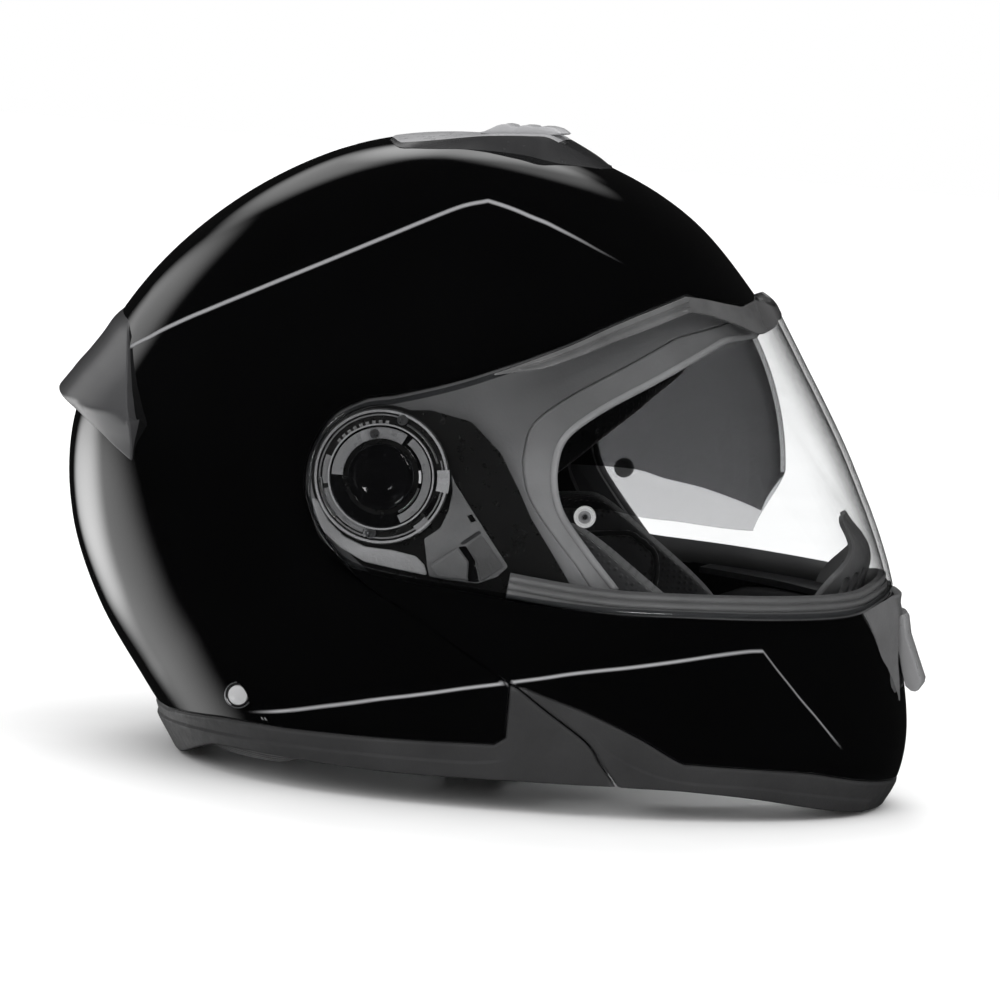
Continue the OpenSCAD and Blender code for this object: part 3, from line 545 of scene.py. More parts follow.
def crease_rows(surface, creases):
    """Rows of places along and beside each crease."""
    rows = []
    for crease in creases:
        s0, s1 = surface.slopes(crease.q)
        for k in range(len(crease.q)):
            way = np.linalg.lstsq(np.stack([s0[k], s1[k]], 1), crease.side[k], rcond=None)[0]
            for offset in (-1.5, -0.75, -0.5, -0.25, 0, 0.25, 0.5, 0.75, 1.5):
                rows.append(crease.q[k] + way * offset * crease.width)
    return np.array(rows)


def within(loops, q):
    ok = inside(loops[0], q)
    for hole in loops[1:]:
        ok &= ~inside(hole, q)
    return ok


def triangular_grid(step):
    spacing = step / 1.55        # about 1.55 mm to a degree
    rows = []
    for j in range(int(2 * CENTRE / (spacing * 0.866)) + 2):
        xs = np.arange(-CENTRE + (0.5 * spacing if j % 2 else 0), CENTRE, spacing)
        rows.append(np.stack([xs, np.full(len(xs), -CENTRE + j * spacing * 0.866)], 1))
    grid = np.vstack(rows)
    return grid[np.hypot(grid[:, 0], grid[:, 1]) < 90 - 0.35 * spacing]


def twice_area(q, triangles):
    a = q[triangles[:, 1]] - q[triangles[:, 0]]
    b = q[triangles[:, 2]] - q[triangles[:, 0]]
    return a[:, 0] * b[:, 1] - a[:, 1] * b[:, 0]


def triangulate(surface, loops, rim, step, fillet, creases):
    """Polar-plane points and counter-clockwise triangles of a panel."""
    rings, depths = rim_rings(surface, loops, fillet)
    ok = (np.hypot(rings[:, 0], rings[:, 1]) < 89.0) & within(loops, rings)
    ok &= distances(rim, surface.at(rings)) > depths * 0.82
    interior = [rings[ok]]
    rows = crease_rows(surface, creases)
    if len(rows):
        ok = inside(loops[0], rows) & (np.hypot(rows[:, 0], rows[:, 1]) < 89.3)
        ok &= distances(rim, surface.at(rows)) > max(fillet, 0.4) * 1.1
        rows = rows[ok]
        interior.append(rows)
    grid = triangular_grid(step)
    grid = grid[within(loops, grid)]
    grid = grid[distances(rim, surface.at(grid)) > fillet * 2.6 + 0.5 * step]
    if len(rows):
        grid = grid[distances(tree_of(surface.at(rows)), surface.at(grid)) > 0.55 * step]
    interior.append(grid)

    edges, base = [], 0
    for q in loops:
        edges += [(base + i, base + (i + 1) % len(q)) for i in range(len(q))]
        base += len(q)
    places = np.vstack(list(loops) + [part for part in interior if len(part)])
    result = delaunay_2d_cdt([Vector(p) for p in places], edges, [], 2 if len(loops) > 1 else 1,
                             1e-5)
    q = np.array([tuple(v) for v in result[0]])
    triangles = np.array([tuple(f) for f in result[2] if len(f) == 3], int)
    ok = within(loops, q[triangles].mean(1)) & (np.abs(twice_area(q, triangles)) > 1e-7)
    triangles = triangles[ok]
    used = np.unique(triangles)
    remap = -np.ones(len(q), int)
    remap[used] = np.arange(len(used))
    q, triangles = q[used], remap[triangles]
    flip = twice_area(q, triangles) < 0
    triangles[flip] = triangles[flip][:, ::-1]
    return q, triangles


def panel_mesh(name, points, normals, faces, closeness, material):
    """Object with the crease attribute, the weight of the painted crease highlight, and its own
    shading normals; rim faces stay flat.
    """
    mesh = bpy.data.meshes.new(name)
    mesh.from_pydata([tuple(v) for v in points * MM], [],
                     [tuple(int(i) for i in f) for f in faces])
    mesh.materials.append(material)
    shade_smooth(mesh)
    attribute = mesh.attributes.new("crease", "FLOAT", "POINT")
    attribute.data.foreach_set("value", closeness.astype(np.float32))
    corners = np.zeros(len(mesh.loops), np.int32)
    mesh.loops.foreach_get("vertex_index", corners)
    loop_normals = np.zeros((len(mesh.loops), 3))
    for face in mesh.polygons:
        span = slice(face.loop_start, face.loop_start + face.loop_total)
        flat = face.loop_total != 3
        loop_normals[span] = face.normal[:] if flat else normals[corners[span]]
    mesh.normals_split_custom_set([tuple(n) for n in loop_normals])
    mesh.update()
    return add_object(name, mesh)


def panel(name, surface, outline, material, thick, fillet, step, edge, off=0.0, creases=(),
          holes=(), sides="both", polar=False):
    """A shaped panel: outline laid on a surface, rim rounded over, given thickness.

    The outline and holes are closed side-view loops in mm, or polar-plane loops in degrees.
    Side-view points beyond the silhouette run along the centre line.
    """
    loops = [sample_loop(surface, loop, polar, edge) for loop in [outline] + list(holes)]
    rim = rim_tree(surface, loops)
    q, triangles = triangulate(surface, loops, rim, step, fillet, creases)
    reach = np.hypot(q[:, 0], q[:, 1])
    middle = reach > 89.9        # on the centre line, shared by both halves
    q[middle] *= (CENTRE / reach[middle])[:, None]
    base = surface.at(q)
    base[middle, 1] = 0
    normals = surface.normal(base)
    normals[middle, 1] = 0
    normals = unit(normals)

    def displace(points):
        to_rim = distances(rim, points)
        lift, close = np.full(len(points), float(off)), np.zeros(len(points))
        for crease in creases:
            more, closer = crease(points)
            lift += more
            close = np.maximum(close, closer)
        t = np.clip((fillet - to_rim) / fillet, 0, 0.985)
        lift -= fillet * (1 - np.sqrt(1 - t * t))
        return lift, close

    lift, close = displace(base)
    # tilt the shading normals where the displacement slopes
    first = np.cross(normals, [0.0, 0.0, 1.0])
    first[np.linalg.norm(first, axis=1) < 0.2] = [1, 0, 0]
    first -= normals * (first * normals).sum(1)[:, None]
    first = unit(first)
    sloping = (distances(rim, base) < fillet * 1.3 + 0.2) | (close > 0)
    for crease in creases:
        sloping |= distances(crease.tree, base) < crease.width * 2 + 1
    index = np.where(sloping)[0]
    gradient = np.zeros_like(base)
    h = 0.06
    for tangent in (first, np.cross(normals, first)):
        ahead = displace(base[index] + tangent[index] * h)[0]
        behind = displace(base[index] - tangent[index] * h)[0]
        gradient[index] += tangent[index] * ((ahead - behind) / (2 * h))[:, None]
    shading = normals - gradient
    shading[middle, 1] = 0
    shading = unit(shading)

    outer = base + normals * lift[:, None]
    inner = base + normals * (off - thick)
    outer[middle, 1] = 0
    inner[middle, 1] = 0
    count = len(base)
    uses = defaultdict(list)
    for face in triangles:
        for i in range(3):
            a, b = int(face[i]), int(face[(i + 1) % 3])
            uses[(min(a, b), max(a, b))].append((a, b))
    border = [found[0] for key, found in uses.items()
              if len(found) == 1 and not (middle[key[0]] and middle[key[1]])]
    points = np.vstack([outer, inner])
    shading = np.vstack([shading, -normals])
    close = np.concatenate([close, np.zeros(count)])
    faces = [tuple(f) for f in triangles] + [tuple(f) for f in triangles[:, ::-1] + count]
    faces += [(b, a, a + count, b + count) for a, b in border]
    if sides == "both":
        own = ~np.concatenate([middle, middle])
        twin = np.arange(2 * count)
        twin[own] = np.arange(own.sum()) + 2 * count
        faces = faces + [tuple(int(twin[i]) for i in f[::-1]) for f in faces]
        points = np.vstack([points, points[own] * [1, -1, 1]])
        shading = np.vstack([shading, shading[own] * [1, -1, 1]])
        close = np.concatenate([close, close[own]])
    elif sides == "left":
        points = points * [1, -1, 1]
        shading = shading * [1, -1, 1]
        faces = [f[::-1] for f in faces]
    return panel_mesh(name, points, shading, faces, close, material)


# ---------------------------------------------------------------- shader helpers
class Nodes:
    """Builds a node tree; an input given as a socket is linked, as a value is set."""

    def __init__(self, owner):
        owner.use_nodes = True
        self.tree = owner.node_tree
        self.tree.nodes.clear()

    def add(self, kind, inputs=None, **settings):
        node = self.tree.nodes.new("ShaderNode" + kind)
        for key, value in settings.items():
            setattr(node, key, value)
        self.feed(node, inputs or {})
        return node

    def feed(self, node, inputs):
        for key, value in inputs.items():
            if isinstance(value, bpy.types.NodeSocket):
                self.tree.links.new(value, node.inputs[key])
            else:
                node.inputs[key].default_value = value

    def coords(self, scale=(1.0, 1.0, 1.0)):
        place = self.add("TexCoord").outputs["Object"]
        return self.add("Mapping", {"Scale": scale, "Vector": place}).outputs[0]

    def height(self):
        """World-size height of the shaded point."""
        separate = self.add("SeparateXYZ", {0: self.add("TexCoord").outputs["Object"]})
        return separate.outputs["Z"]

    def noise(self, where, scale, detail=4, rough=0.55):
        return self.add("TexNoise", {"Scale": scale, "Detail": detail, "Roughness": rough,
                                     "Vector": where}).outputs["Fac"]

    def wave(self, where, direction, scale, distortion=0.0):
        return self.add("TexWave", {"Scale": scale, "Distortion": distortion, "Vector": where},
                        bands_direction=direction).outputs["Fac"]

    def ramp(self, factor, low, high, start=0.3, end=0.7):
        node = self.add("ValToRGB", {0: factor})
        elements = node.color_ramp.elements
        elements[0].position, elements[0].color = start, (*low, 1)
        elements[1].position, elements[1].color = end, (*high, 1)
        return node.outputs[0]

    def map_range(self, value, to_min, to_max, from_min=0.0, from_max=1.0, smooth=False):
        return self.add("MapRange", {"From Min": from_min, "From Max": from_max,
                                     "To Min": to_min, "To Max": to_max, "Value": value},
                        interpolation_type="SMOOTHSTEP" if smooth else "LINEAR").outputs[0]

    def math(self, operation, *values):
        return self.add("Math", dict(enumerate(values)), operation=operation).outputs[0]

    def mix(self, factor, first, second):
        return self.add("Mix", {0: factor, 6: first, 7: second}, data_type="RGBA").outputs[2]

    def scale(self, colour, factor):
        return self.add("VectorMath", {0: colour, "Scale": factor}, operation="SCALE").outputs[0]

    def bump(self, height, strength, distance, under=None):
        inputs = {"Strength": strength, "Distance": distance, "Height": height}
        if under is not None:
            inputs["Normal"] = under
        return self.add("Bump", inputs).outputs[0]


def shade(colour, factor):
    return tuple(min(1, c * factor) for c in colour)


def principled(name):
    material = bpy.data.materials.new(name)
    nodes = Nodes(material)
    output = nodes.add("OutputMaterial")
    surface = nodes.add("BsdfPrincipled")
    nodes.feed(output, {0: surface.outputs[0]})
    return material, nodes, surface


# ---------------------------------------------------------------- materials
def gloss_paint(name, colour, rough=0.05, coat=1.0, crease=True):
    """Lacquered plastic: clear coat, faint orange peel, wipe marks, and a highlight painted along
    the creases.
    """
    material, nodes, surface = principled(name)
    where = nodes.coords()
    tone = nodes.noise(where, scale=22, detail=3)
    colour = nodes.ramp(tone, shade(colour, 0.85), shade(colour, 1.2))
    wipes = nodes.noise(where, scale=130, detail=6, rough=0.7)
    roughness = nodes.map_range(wipes, rough, rough + 0.03, from_min=0.45, from_max=0.8)
    if crease:
        # painted highlight: near a crease the colour turns pale grey, with more roughness and less
        # coat
        near = nodes.add("Attribute", attribute_name="crease").outputs["Fac"]
        colour = nodes.mix(near, colour, (0.34, 0.34, 0.35, 1))
        roughness = nodes.math("ADD", roughness, nodes.math("MULTIPLY", near, 0.3))
        coat = nodes.math("MULTIPLY_ADD", near, -0.8, coat)
    peel = nodes.noise(where, scale=420, detail=2, rough=0.4)
    surface.inputs["Roughness"].default_value = rough
    nodes.feed(surface, {
        "Base Color": colour, "Roughness": roughness, "Coat Weight": coat,
        "Coat Roughness": 0.02, "IOR": 1.5,
        "Normal": nodes.bump(peel, strength=0.018, distance=0.0004)})
    return material


def moulded(name, colour, rough=0.5, grain=900.0, depth=0.25, vary=0.15, lighter_low=None):
    """Moulded plastic or rubber: fine grain, tone variation, slightly polished edges.

    lighter_low is (low z, high z, factor at the low one), heights in metres; it paints light into
    the colour, lighter towards the bottom.
    """
    material, nodes, surface = principled(name)
    where = nodes.coords()
    tone = nodes.noise(where, scale=35, detail=5)
    base = nodes.ramp(tone, shade(colour, 1 - vary), shade(colour, 1 + vary))
    pointiness = nodes.add("NewGeometry").outputs["Pointiness"]
    edge = nodes.map_range(pointiness, 0, 1, from_min=0.52, from_max=0.6)
    worn = (*(min(1, c + 0.3) for c in colour), 1)
    base = nodes.mix(nodes.math("MULTIPLY", edge, 0.12), base, worn)
    fine = nodes.noise(where, scale=grain, detail=3, rough=0.6)
    mid = nodes.noise(where, scale=grain * 0.22, detail=4, rough=0.6)
    roughness = nodes.map_range(mid, rough - 0.07, rough + 0.09, from_min=0.3, from_max=0.7)
    under = nodes.bump(fine, strength=depth, distance=0.0003)
    normal = nodes.bump(mid, strength=depth * 0.4, distance=0.0006, under=under)
    # painted light: the colour is brightened towards the bottom, as if lit from below
    if lighter_low:
        low, high, factor = lighter_low
        base = nodes.scale(base, nodes.map_range(nodes.height(), factor, 1.0, low, high, True))
    nodes.feed(surface, {"Base Color": base, "Roughness": roughness,
                         "Specular IOR Level": 0.5, "Normal": normal})
    return material


def metal(name, colour, rough, brushed=True):
    material, nodes, surface = principled(name)
    tone = nodes.noise(nodes.coords(), scale=60, detail=5)
    base = nodes.ramp(tone, shade(colour, 0.85), colour, end=0.75)
    streak = nodes.noise(nodes.coords((900, 60, 900)), scale=1.0, detail=4, rough=0.6)
    roughness = nodes.map_range(streak, rough - 0.05, rough + 0.12, from_min=0.3, from_max=0.7)
    nodes.feed(surface, {"Metallic": 1.0, "Base Color": base, "Roughness": roughness})
    if brushed:
        nodes.feed(surface, {"Normal": nodes.bump(streak, strength=0.12, distance=0.0002)})
    return material


def fabric(name, colour, weave, depth=0.6, mesh=False):
    """Cloth with a crossed weave, or an open mesh of round holes."""
    material, nodes, surface = principled(name)
    where = nodes.coords()
    if mesh:
        cell = nodes.add("TexVoronoi", {"Scale": weave, "Randomness": 0.15, "Vector": where},
                         feature="F1").outputs["Distance"]
        relief = nodes.map_range(cell, 1.0, 0.0, from_min=0.0, from_max=0.42)
        thread = nodes.map_range(cell, 0.0, 1.0, from_min=0.1, from_max=0.32)
    else:
        waves = [nodes.wave(where, way, weave / 6.28, distortion=0.4) for way in "XZ"]
        relief = thread = nodes.math("MAXIMUM", *waves)
    broad = nodes.noise(where, scale=28, detail=5)
    fine = nodes.noise(where, scale=600, detail=3)
    tone = nodes.math("ADD", nodes.map_range(broad, -0.1, 0.1, from_min=0.3, from_max=0.7),
                      nodes.map_range(fine, -0.12, 0.12, from_min=0.3, from_max=0.7))
    base = nodes.ramp(nodes.math("ADD", thread, tone), shade(colour, 0.55), colour, 0.0, 1.0)
    under = nodes.bump(relief, strength=depth, distance=0.0006)
    nodes.feed(surface, {
        "Roughness": 0.85, "Sheen Weight": 0.4, "Sheen Roughness": 0.45, "Base Color": base,
        "Normal": nodes.bump(fine, strength=depth * 0.4, distance=0.0004, under=under)})
    return material


def webbing(name, colour):
    material, nodes, surface = principled(name)
    where = nodes.coords()
    relief = nodes.math("MULTIPLY", nodes.wave(where, "DIAGONAL", scale=190),
                        nodes.wave(where, "X", scale=120))
    nodes.feed(surface, {
        "Roughness": 0.7, "Sheen Weight": 0.3,
        "Base Color": nodes.ramp(relief, shade(colour, 0.5), shade(colour, 1.8), 0.0, 1.0),
        "Normal": nodes.bump(relief, strength=0.7, distance=0.0006)})
    return material


def smoke_tint(nodes):
    """Grey tint, darker towards the top and once several clear layers lie in front."""
    fade = nodes.map_range(nodes.height(), 1.0, 0.93, from_min=0.108, from_max=0.16)
    depth = nodes.add("LightPath").outputs["Transparent Depth"]
    far = nodes.map_range(depth, 0.0, 1.0, from_min=3.4, from_max=3.6)
    tint = nodes.ramp(far, (0.76, 0.76, 0.765), (0.4, 0.4, 0.405), 0.0, 1.0)
    return nodes.scale(tint, fade)


def clear_plastic(name, tint=None, ior=1.45, rough=0.015, reflect=1.0):
    """Transparent sheet with a reflective skin; without a tint it is smoked."""
    material = bpy.data.materials.new(name)
    nodes = Nodes(material)
    output = nodes.add("OutputMaterial")
    through = nodes.add("BsdfTransparent")
    skin = nodes.add("BsdfGlossy")
    where = nodes.coords()
    wipes = nodes.noise(where, scale=90, detail=6, rough=0.7)
    roughness = nodes.map_range(wipes, rough, rough + 0.035, from_min=0.45, from_max=0.8)
    nodes.feed(skin, {"Roughness": roughness})
    if tint:
        tone = nodes.noise(where, scale=14, detail=3)
        colour = nodes.ramp(tone, shade(tint, 0.97), tint)
    else:
        colour = smoke_tint(nodes)
    nodes.feed(through, {"Color": colour})
    facing = nodes.add("LayerWeight", {"Blend": 0.5}).outputs["Facing"]
    head_on = ((ior - 1) / (ior + 1)) ** 2
    fresnel = nodes.math("MULTIPLY_ADD", nodes.math("POWER", facing, 5.0),
                         (1 - head_on) * reflect, head_on * reflect)
    mixed = nodes.add("MixShader", {0: fresnel, 1: through.outputs[0], 2: skin.outputs[0]})
    nodes.feed(output, {0: mixed.outputs[0]})
    return material


# shell and chin bar paint; its creases carry a painted highlight
SHELL_GLOSS = gloss_paint("shell_gloss_black", (0.001, 0.001, 0.0011))
BLACK_GLOSS = gloss_paint("gloss_black_plain", (0.003, 0.003, 0.0033), rough=0.09, crease=False)
SPOILER_GLOSS = gloss_paint("dark_grey_gloss", (0.052, 0.052, 0.054), rough=0.3, coat=0.35,
                            crease=False)
# eyeport frame and flank greys carry painted light, lighter towards the bottom
FRAME_GREY = moulded("eyeport_matte_grey", (0.118, 0.118, 0.12), rough=0.42, depth=0.3,
                     lighter_low=(0.105, 0.15, 1.75))
FLANK_GREY = moulded("flank_matte_grey", (0.085, 0.085, 0.087), rough=0.44, depth=0.3,
                     lighter_low=(0.105, 0.155, 2.0))
DEFLECTOR_GREY = moulded("deflector_grey", (0.088, 0.088, 0.089), rough=0.36, depth=0.25)
BROW_SMOKE = moulded("brow_smoked_clear", (0.08, 0.08, 0.081), rough=0.12, depth=0.06, vary=0.4)
ROOF_SATIN = moulded("roof_vent_satin", (0.42, 0.42, 0.43), rough=0.3, depth=0.1)
# lip grey, made paler to paint in the highlights along the lip
LIP_GREY_AND_HIGHLIGHT = moulded("lip_satin_grey", (0.19, 0.19, 0.193), rough=0.18, depth=0.08)
TRIM_RUBBER = moulded("edge_trim_rubber", (0.034, 0.034, 0.035), rough=0.52, grain=1400,
                      depth=0.35)
GASKET_RUBBER = moulded("gasket_rubber", (0.085, 0.085, 0.086), rough=0.45, grain=1600, depth=0.2)
BLACK_PLASTIC = moulded("black_moulded", (0.02, 0.02, 0.021), rough=0.38, depth=0.25)
BLACK_BAND = moulded("black_band", (0.008, 0.008, 0.008), rough=0.3, depth=0.12)
GREY_PLASTIC = moulded("grey_moulded", (0.11, 0.11, 0.112), rough=0.42, depth=0.3)
TEXTURED = moulded("grey_textured", (0.085, 0.085, 0.087), rough=0.5, grain=700, depth=1.0,
                   vary=0.3)
# darker and lighter copies of the textured grey: painted shade and painted light
TEXTURED_PAINTED_SHADE = moulded("grey_textured_dark", (0.05, 0.05, 0.051), rough=0.45, grain=700,
                        depth=1.0, vary=0.3)
TEXTURED_PAINTED_LIGHT = moulded("grey_textured_light", (0.19, 0.19, 0.193), rough=0.5, grain=700,
                         depth=1.0, vary=0.3)
LIGHT_GREY = moulded("light_grey_satin", (0.42, 0.42, 0.43), rough=0.32, depth=0.12)
MID_GREY = moulded("mid_grey_plastic", (0.115, 0.115, 0.118), rough=0.3, depth=0.2)
LEVER_SATIN = moulded("lever_satin", (0.2, 0.2, 0.204), rough=0.3, depth=0.15)
RIVET_BRIGHT = moulded("rivet_bright", (0.34, 0.34, 0.345), rough=0.16, depth=0.1)
PIN_PALE = moulded("pin_translucent", (0.42, 0.42, 0.42), rough=0.25, depth=0.05)
RING_GREY = moulded("ring_grey", (0.2, 0.2, 0.205), rough=0.25, depth=0.12)
RED_PLASTIC = moulded("red_moulded", (0.32, 0.012, 0.01), rough=0.35, depth=0.2)
FOAM = moulded("black_foam", (0.02, 0.02, 0.021), rough=0.85, grain=420, depth=1.0, vary=0.3)
STEEL = metal("zinc_steel", (0.62, 0.62, 0.64), rough=0.3)
CHROME = metal("bright_rivet", (0.86, 0.86, 0.88), rough=0.12, brushed=False)
LINING_KNIT = fabric("lining_knit", (0.04, 0.04, 0.042), weave=2200)
LINING_MESH = fabric("lining_mesh", (0.042, 0.042, 0.044), weave=420, depth=0.9, mesh=True)
CURTAIN_CLOTH = fabric("curtain_cloth", (0.03, 0.03, 0.031), weave=2600)
PIPING = fabric("piping", (0.02, 0.02, 0.02), weave=3200, depth=0.3)
WEBBING = webbing("strap_webbing", (0.035, 0.035, 0.036))
VENT_WALL = moulded("vent_wall_gloss", (0.03, 0.03, 0.031), rough=0.2, depth=0.1)
CLEAR = clear_plastic("clear_shield", (0.985, 0.987, 0.988))
CLEAR_EDGE = clear_plastic("clear_shield_edge", (0.55, 0.56, 0.57), ior=1.7, rough=0.08)
SMOKE = clear_plastic("smoked_visor", ior=1.4, reflect=0.5)

# ---------------------------------------------------------------- shared outlines, side view (x, z)
shield_top = spline([(-57.6, 131), (-51, 141.6), (-40, 148.6), (-28, 151.4), (-3, 159.6),
                     (29, 173.6), (50, 184.8), (73.5, 196.2)])
shield_low = spline([(-58.5, 112), (-52, 98.5), (-40.5, 88.4), (-21.5, 84.9), (4.7, 82.6),
                     (23.3, 80.6), (53.4, 78.6), (90, 78.6), (125, 78.8), (145, 79.6),
                     (152, 81.6), (160, 86)])
# joint between shell and chin bar, and its continuation through the trims
parting = spline([(-49.5, 96), (-40.4, 86.8), (-32.4, 80.5), (-12.9, 69.5), (6.9, 57.4),
                  (22.1, 48.3)])
trim_step = spline([(24.4, 47.4), (35.7, 39.2), (51.6, 27.9), (57.3, 20), (63.8, 11.3)])
eye_edge = spline([(57, 85.2), (44, 100), (34, 113), (30.6, 124), (30.4, 131), (33, 141.6),
                   (45.7, 152.9), (66.2, 166), (88, 180.6)])
eye_outer = np.vstack([[(49.5, 83.6)], eye_edge[4:-6] + [-11, 4],
                       [(90, 186.8), (120, 188.1)]])
trim_top = np.array([(-114.4, 18), (-90.9, 21.2), (-80.3, 21.8), (-44.2, 23), (-19.3, 23.6),
                     (18, 25)])
base_low = [(5.4, 10.8), (-18.7, 10.3), (-58.4, 10.6), (-86, 10.4), (-95, 7.6), (-104.4, 0.8),
            (-106.6, 0)]
chin_trim_top = np.array([(27.6, 47.6), (50.4, 39.8), (71.3, 30.5), (86.8, 21.9), (94.2, 20.9),
                          (131.5, 18.5), (154.4, 14), (185, 8)])
chin_trim_low = [(158, 0), (144.7, 2.4), (116.6, 8), (89.4, 10.8), (69.8, 11.2), (64.4, 11.2)]

finished = []                    # pieces that take the model lights


def keep(obj, body, slot, *replaced):
    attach(obj, body)
    if replaced:
        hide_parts(*replaced)
    finished.append(obj)


# ---------------------------------------------------------------- shell
# crease that rises from the back to the roof, then falls forwards
upper_back = spline([
    (-138.6, 156.6), (-133.3, 160.0), (-129.1, 162.4), (-123.5, 166.0), (-112.4, 172.2),
    (-106.9, 175.0), (-98.6, 179.3), (-88.0, 184.7), (-77.7, 190.0), (-67.5, 195.2),
    (-57.4, 200.4), (-47.4, 205.6), (-37.5, 210.7), (-27.7, 215.8), (-17.0, 221.2),
    (-11.4, 223.4), (-6.0, 224.8)])
upper_front = spline([
    (-5.1, 225.1), (0.7, 223.9), (6.4, 222.4), (12.0, 220.6), (17.8, 218.9), (23.1, 216.9),
    (30.8, 213.9), (38.3, 210.7), (49.6, 205.9)])
lower_crease = spline([
    (-78, 26.2), (-71.1, 27.6), (-59.4, 30.3), (-48.0, 33.3), (-36.7, 36.1), (-25.7, 38.9),
    (-15.1, 41.2), (-4.6, 43.6), (5.8, 46.1), (21.4, 49.4)])
shell_creases = [
    Crease(np.vstack([upper_back[:-1], upper_front]), shell_surface, height=1.1, width=1.15,
           decay=26, ends=(3, 40), side=-1),
    Crease(lower_crease, shell_surface, height=1.0, width=1.2, decay=22, ends=(18, 0), side=1)]
shell_loop = np.vstack([
    [(-215, 18), (-114.4, 18)], spline(trim_top), [(21.6, 28), (21.9, 48.4)], parting[::-1],
    spline([(-52.5, 99), (-59.5, 112), (-60.5, 122), (-58.5, 131), (-52, 142.6), (-41, 149.6)]),
    shield_top[shield_top[:, 0] > -36] + [-0.6, 1.0],
    [(78, 195.6), (92, 192.6), (120, 196), (215, 196), (215, 330), (-215, 330)]])
keep(panel("shell_skin", shell_surface, shell_loop, SHELL_GLOSS, thick=4.2, fillet=1.3,
           step=PANEL_STEP, edge=1.5, creases=shell_creases),
     HELMET, "shell_gloss", "shell")

# sunken flank behind the arms and round the eye opening
recess_loop = np.vstack([[(-70, 90), (-10, 60), (18, 47), (20, 14), (60, 14), (60, 44), (52.6, 72)],
                         eye_outer + [-0.25, 0.15], [(120, 200), (60, 204), (-70, 160)]])
keep(panel("flank_recess", recess_surface, recess_loop, FLANK_GREY, thick=3.0, fillet=0.6,
           step=PANEL_STEP * 1.4, edge=2.0),
     HELMET, "black_plastic")

frame_loop = np.vstack([[(52.8, 72)], eye_outer, [(120, 183.5), (98, 182)], eye_edge[::-1]])
keep(panel("eyeport_frame_skin", recess_surface, frame_loop, FRAME_GREY, thick=4.2, fillet=1.0,
           step=PANEL_STEP * 0.6, edge=1.2),
     HELMET, "frame_matte", "eyeport_frame")

# rounded lip round the opening; its pale grey is partly a painted highlight
lip_line = np.vstack([eye_edge, [(98, 182), (120, 183.5), (140, 183.5)]])
keep(bead("eyeport_lip", recess_surface, lip_line, circle(1.5, 12, shift=0.5), LIP_GREY_AND_HIGHLIGHT,
          off=-0.4, step=2.2, smoothing=3),
     HELMET, "frame_matte")

# rear spoiler
spoiler_front = spline([(-130.6, 116.2), (-131.6, 128.4), (-134.6, 139), (-137.0, 150.0),
                        (-138.6, 156.6), (-140.6, 164.0), (-143.4, 171.2), (-150, 190)])
spoiler_loop = np.vstack([
    [(-215, 155.5), (-176, 138.2), (-158.6, 131.4), (-147.6, 125.9), (-139.3, 120.9)],
    spoiler_front, [(-215, 190)]])
keep(panel("spoiler_skin", spoiler_surface, spoiler_loop, SPOILER_GLOSS, thick=5.5, fillet=0.6,
           step=PANEL_STEP * 0.6, edge=1.2),
     HELMET, "dark_gloss", "rear_spoiler")

# ---------------------------------------------------------------- roof vent cowl
# stations: x, half width at the foot, half width of the roof, height of the roof's edge
COWL_STATIONS = np.array([
    (-50, 24, 17, 243.6), (-45, 40, 34, 243.4), (-37.2, 43.6, 38.5, 244.6),
    (-29.4, 45.0, 38.6, 245.9), (-21.6, 44.8, 38.0, 247.3), (-13.7, 44.4, 38.0, 248.6),
    (-3.1, 43.0, 37.8, 249.7), (4.8, 41.6, 36.8, 250.2), (11.4, 41.4, 35.8, 250.4),
    (17.2, 40.2, 32.0, 248.2), (23.1, 35.6, 26.6, 245.7), (28.9, 28.4, 20.0, 243.0),
    (33.6, 18.5, 10.6, 240.4), (35.2, 6.0, 2.5, 239.3)])
COWL_SECTIONS = 46
COWL_THICK = 2.6
COWL_SATIN_FACES = range(4, 16)  # strips of the top that are satin
COWL_SATIN_END = 15.5            # x in front of which the roof is glossy


def roof_height(x, y):
    """Height of the shell's outside near the roof."""
    return shell_surface.bisect(lambda m: (x, -abs(y), m), 150.0, 262.0, 40)[0]


def cowl_section(x, foot_y, roof_y, roof_z):
    foot_z = roof_height(x, foot_y)
    roof_z = max(roof_z, roof_height(x, roof_y) + 0.5)
    ridge_z = max(roof_z + 0.5, roof_height(x, 0) + 0.45)
    rise = roof_z - foot_z
    half = [(foot_y + 0.6, foot_z - 1.2), (foot_y, foot_z + 0.25),
            (foot_y + (roof_y - foot_y) * 0.75, foot_z + 0.25 + (rise - 0.25) * 0.80),
            (roof_y + 0.5, roof_z - 0.25), (roof_y, roof_z), (roof_y - 0.8, roof_z + 0.12)]
    for t in (0.82, 0.62, 0.42, 0.2):
        half.append((roof_y * t, roof_z + (ridge_z - roof_z) * (1 - t * t)))
    top = [(-y, z) for y, z in half] + [(0.0, ridge_z)] + half[::-1]
    under = [(y, z - COWL_THICK) for y, z in top[1:-1]][::-1]
    return [(x, y, z) for y, z in top + under]


def make_cowl():
    stations = np.linspace(COWL_STATIONS[0, 0], COWL_STATIONS[-1, 0], COWL_SECTIONS)
    columns = []
    for column in (1, 2, 3):
        path = spline(COWL_STATIONS[:, [0, column]], 0.4)
        columns.append(np.interp(stations, path[:, 0], path[:, 1]))
    sections = [cowl_section(*row) for row in zip(stations, *columns)]
    size = len(sections[0])
    cowl = to_mesh("top_vent_cowl", sum(sections, []), ring_faces(COWL_SECTIONS, size),
                   [VENT_WALL, ROOF_SATIN])
    for index, face in enumerate(cowl.data.polygons):
        section, strip = divmod(index, size)
        if (section < COWL_SECTIONS - 1 and strip in COWL_SATIN_FACES
                and stations[section] < COWL_SATIN_END):
            face.material_index = 1
    tidy(cowl)
    soft_edges(cowl, 32)
    return cowl


keep(make_cowl(), HELMET, "frame_matte", "top_vent_housing")


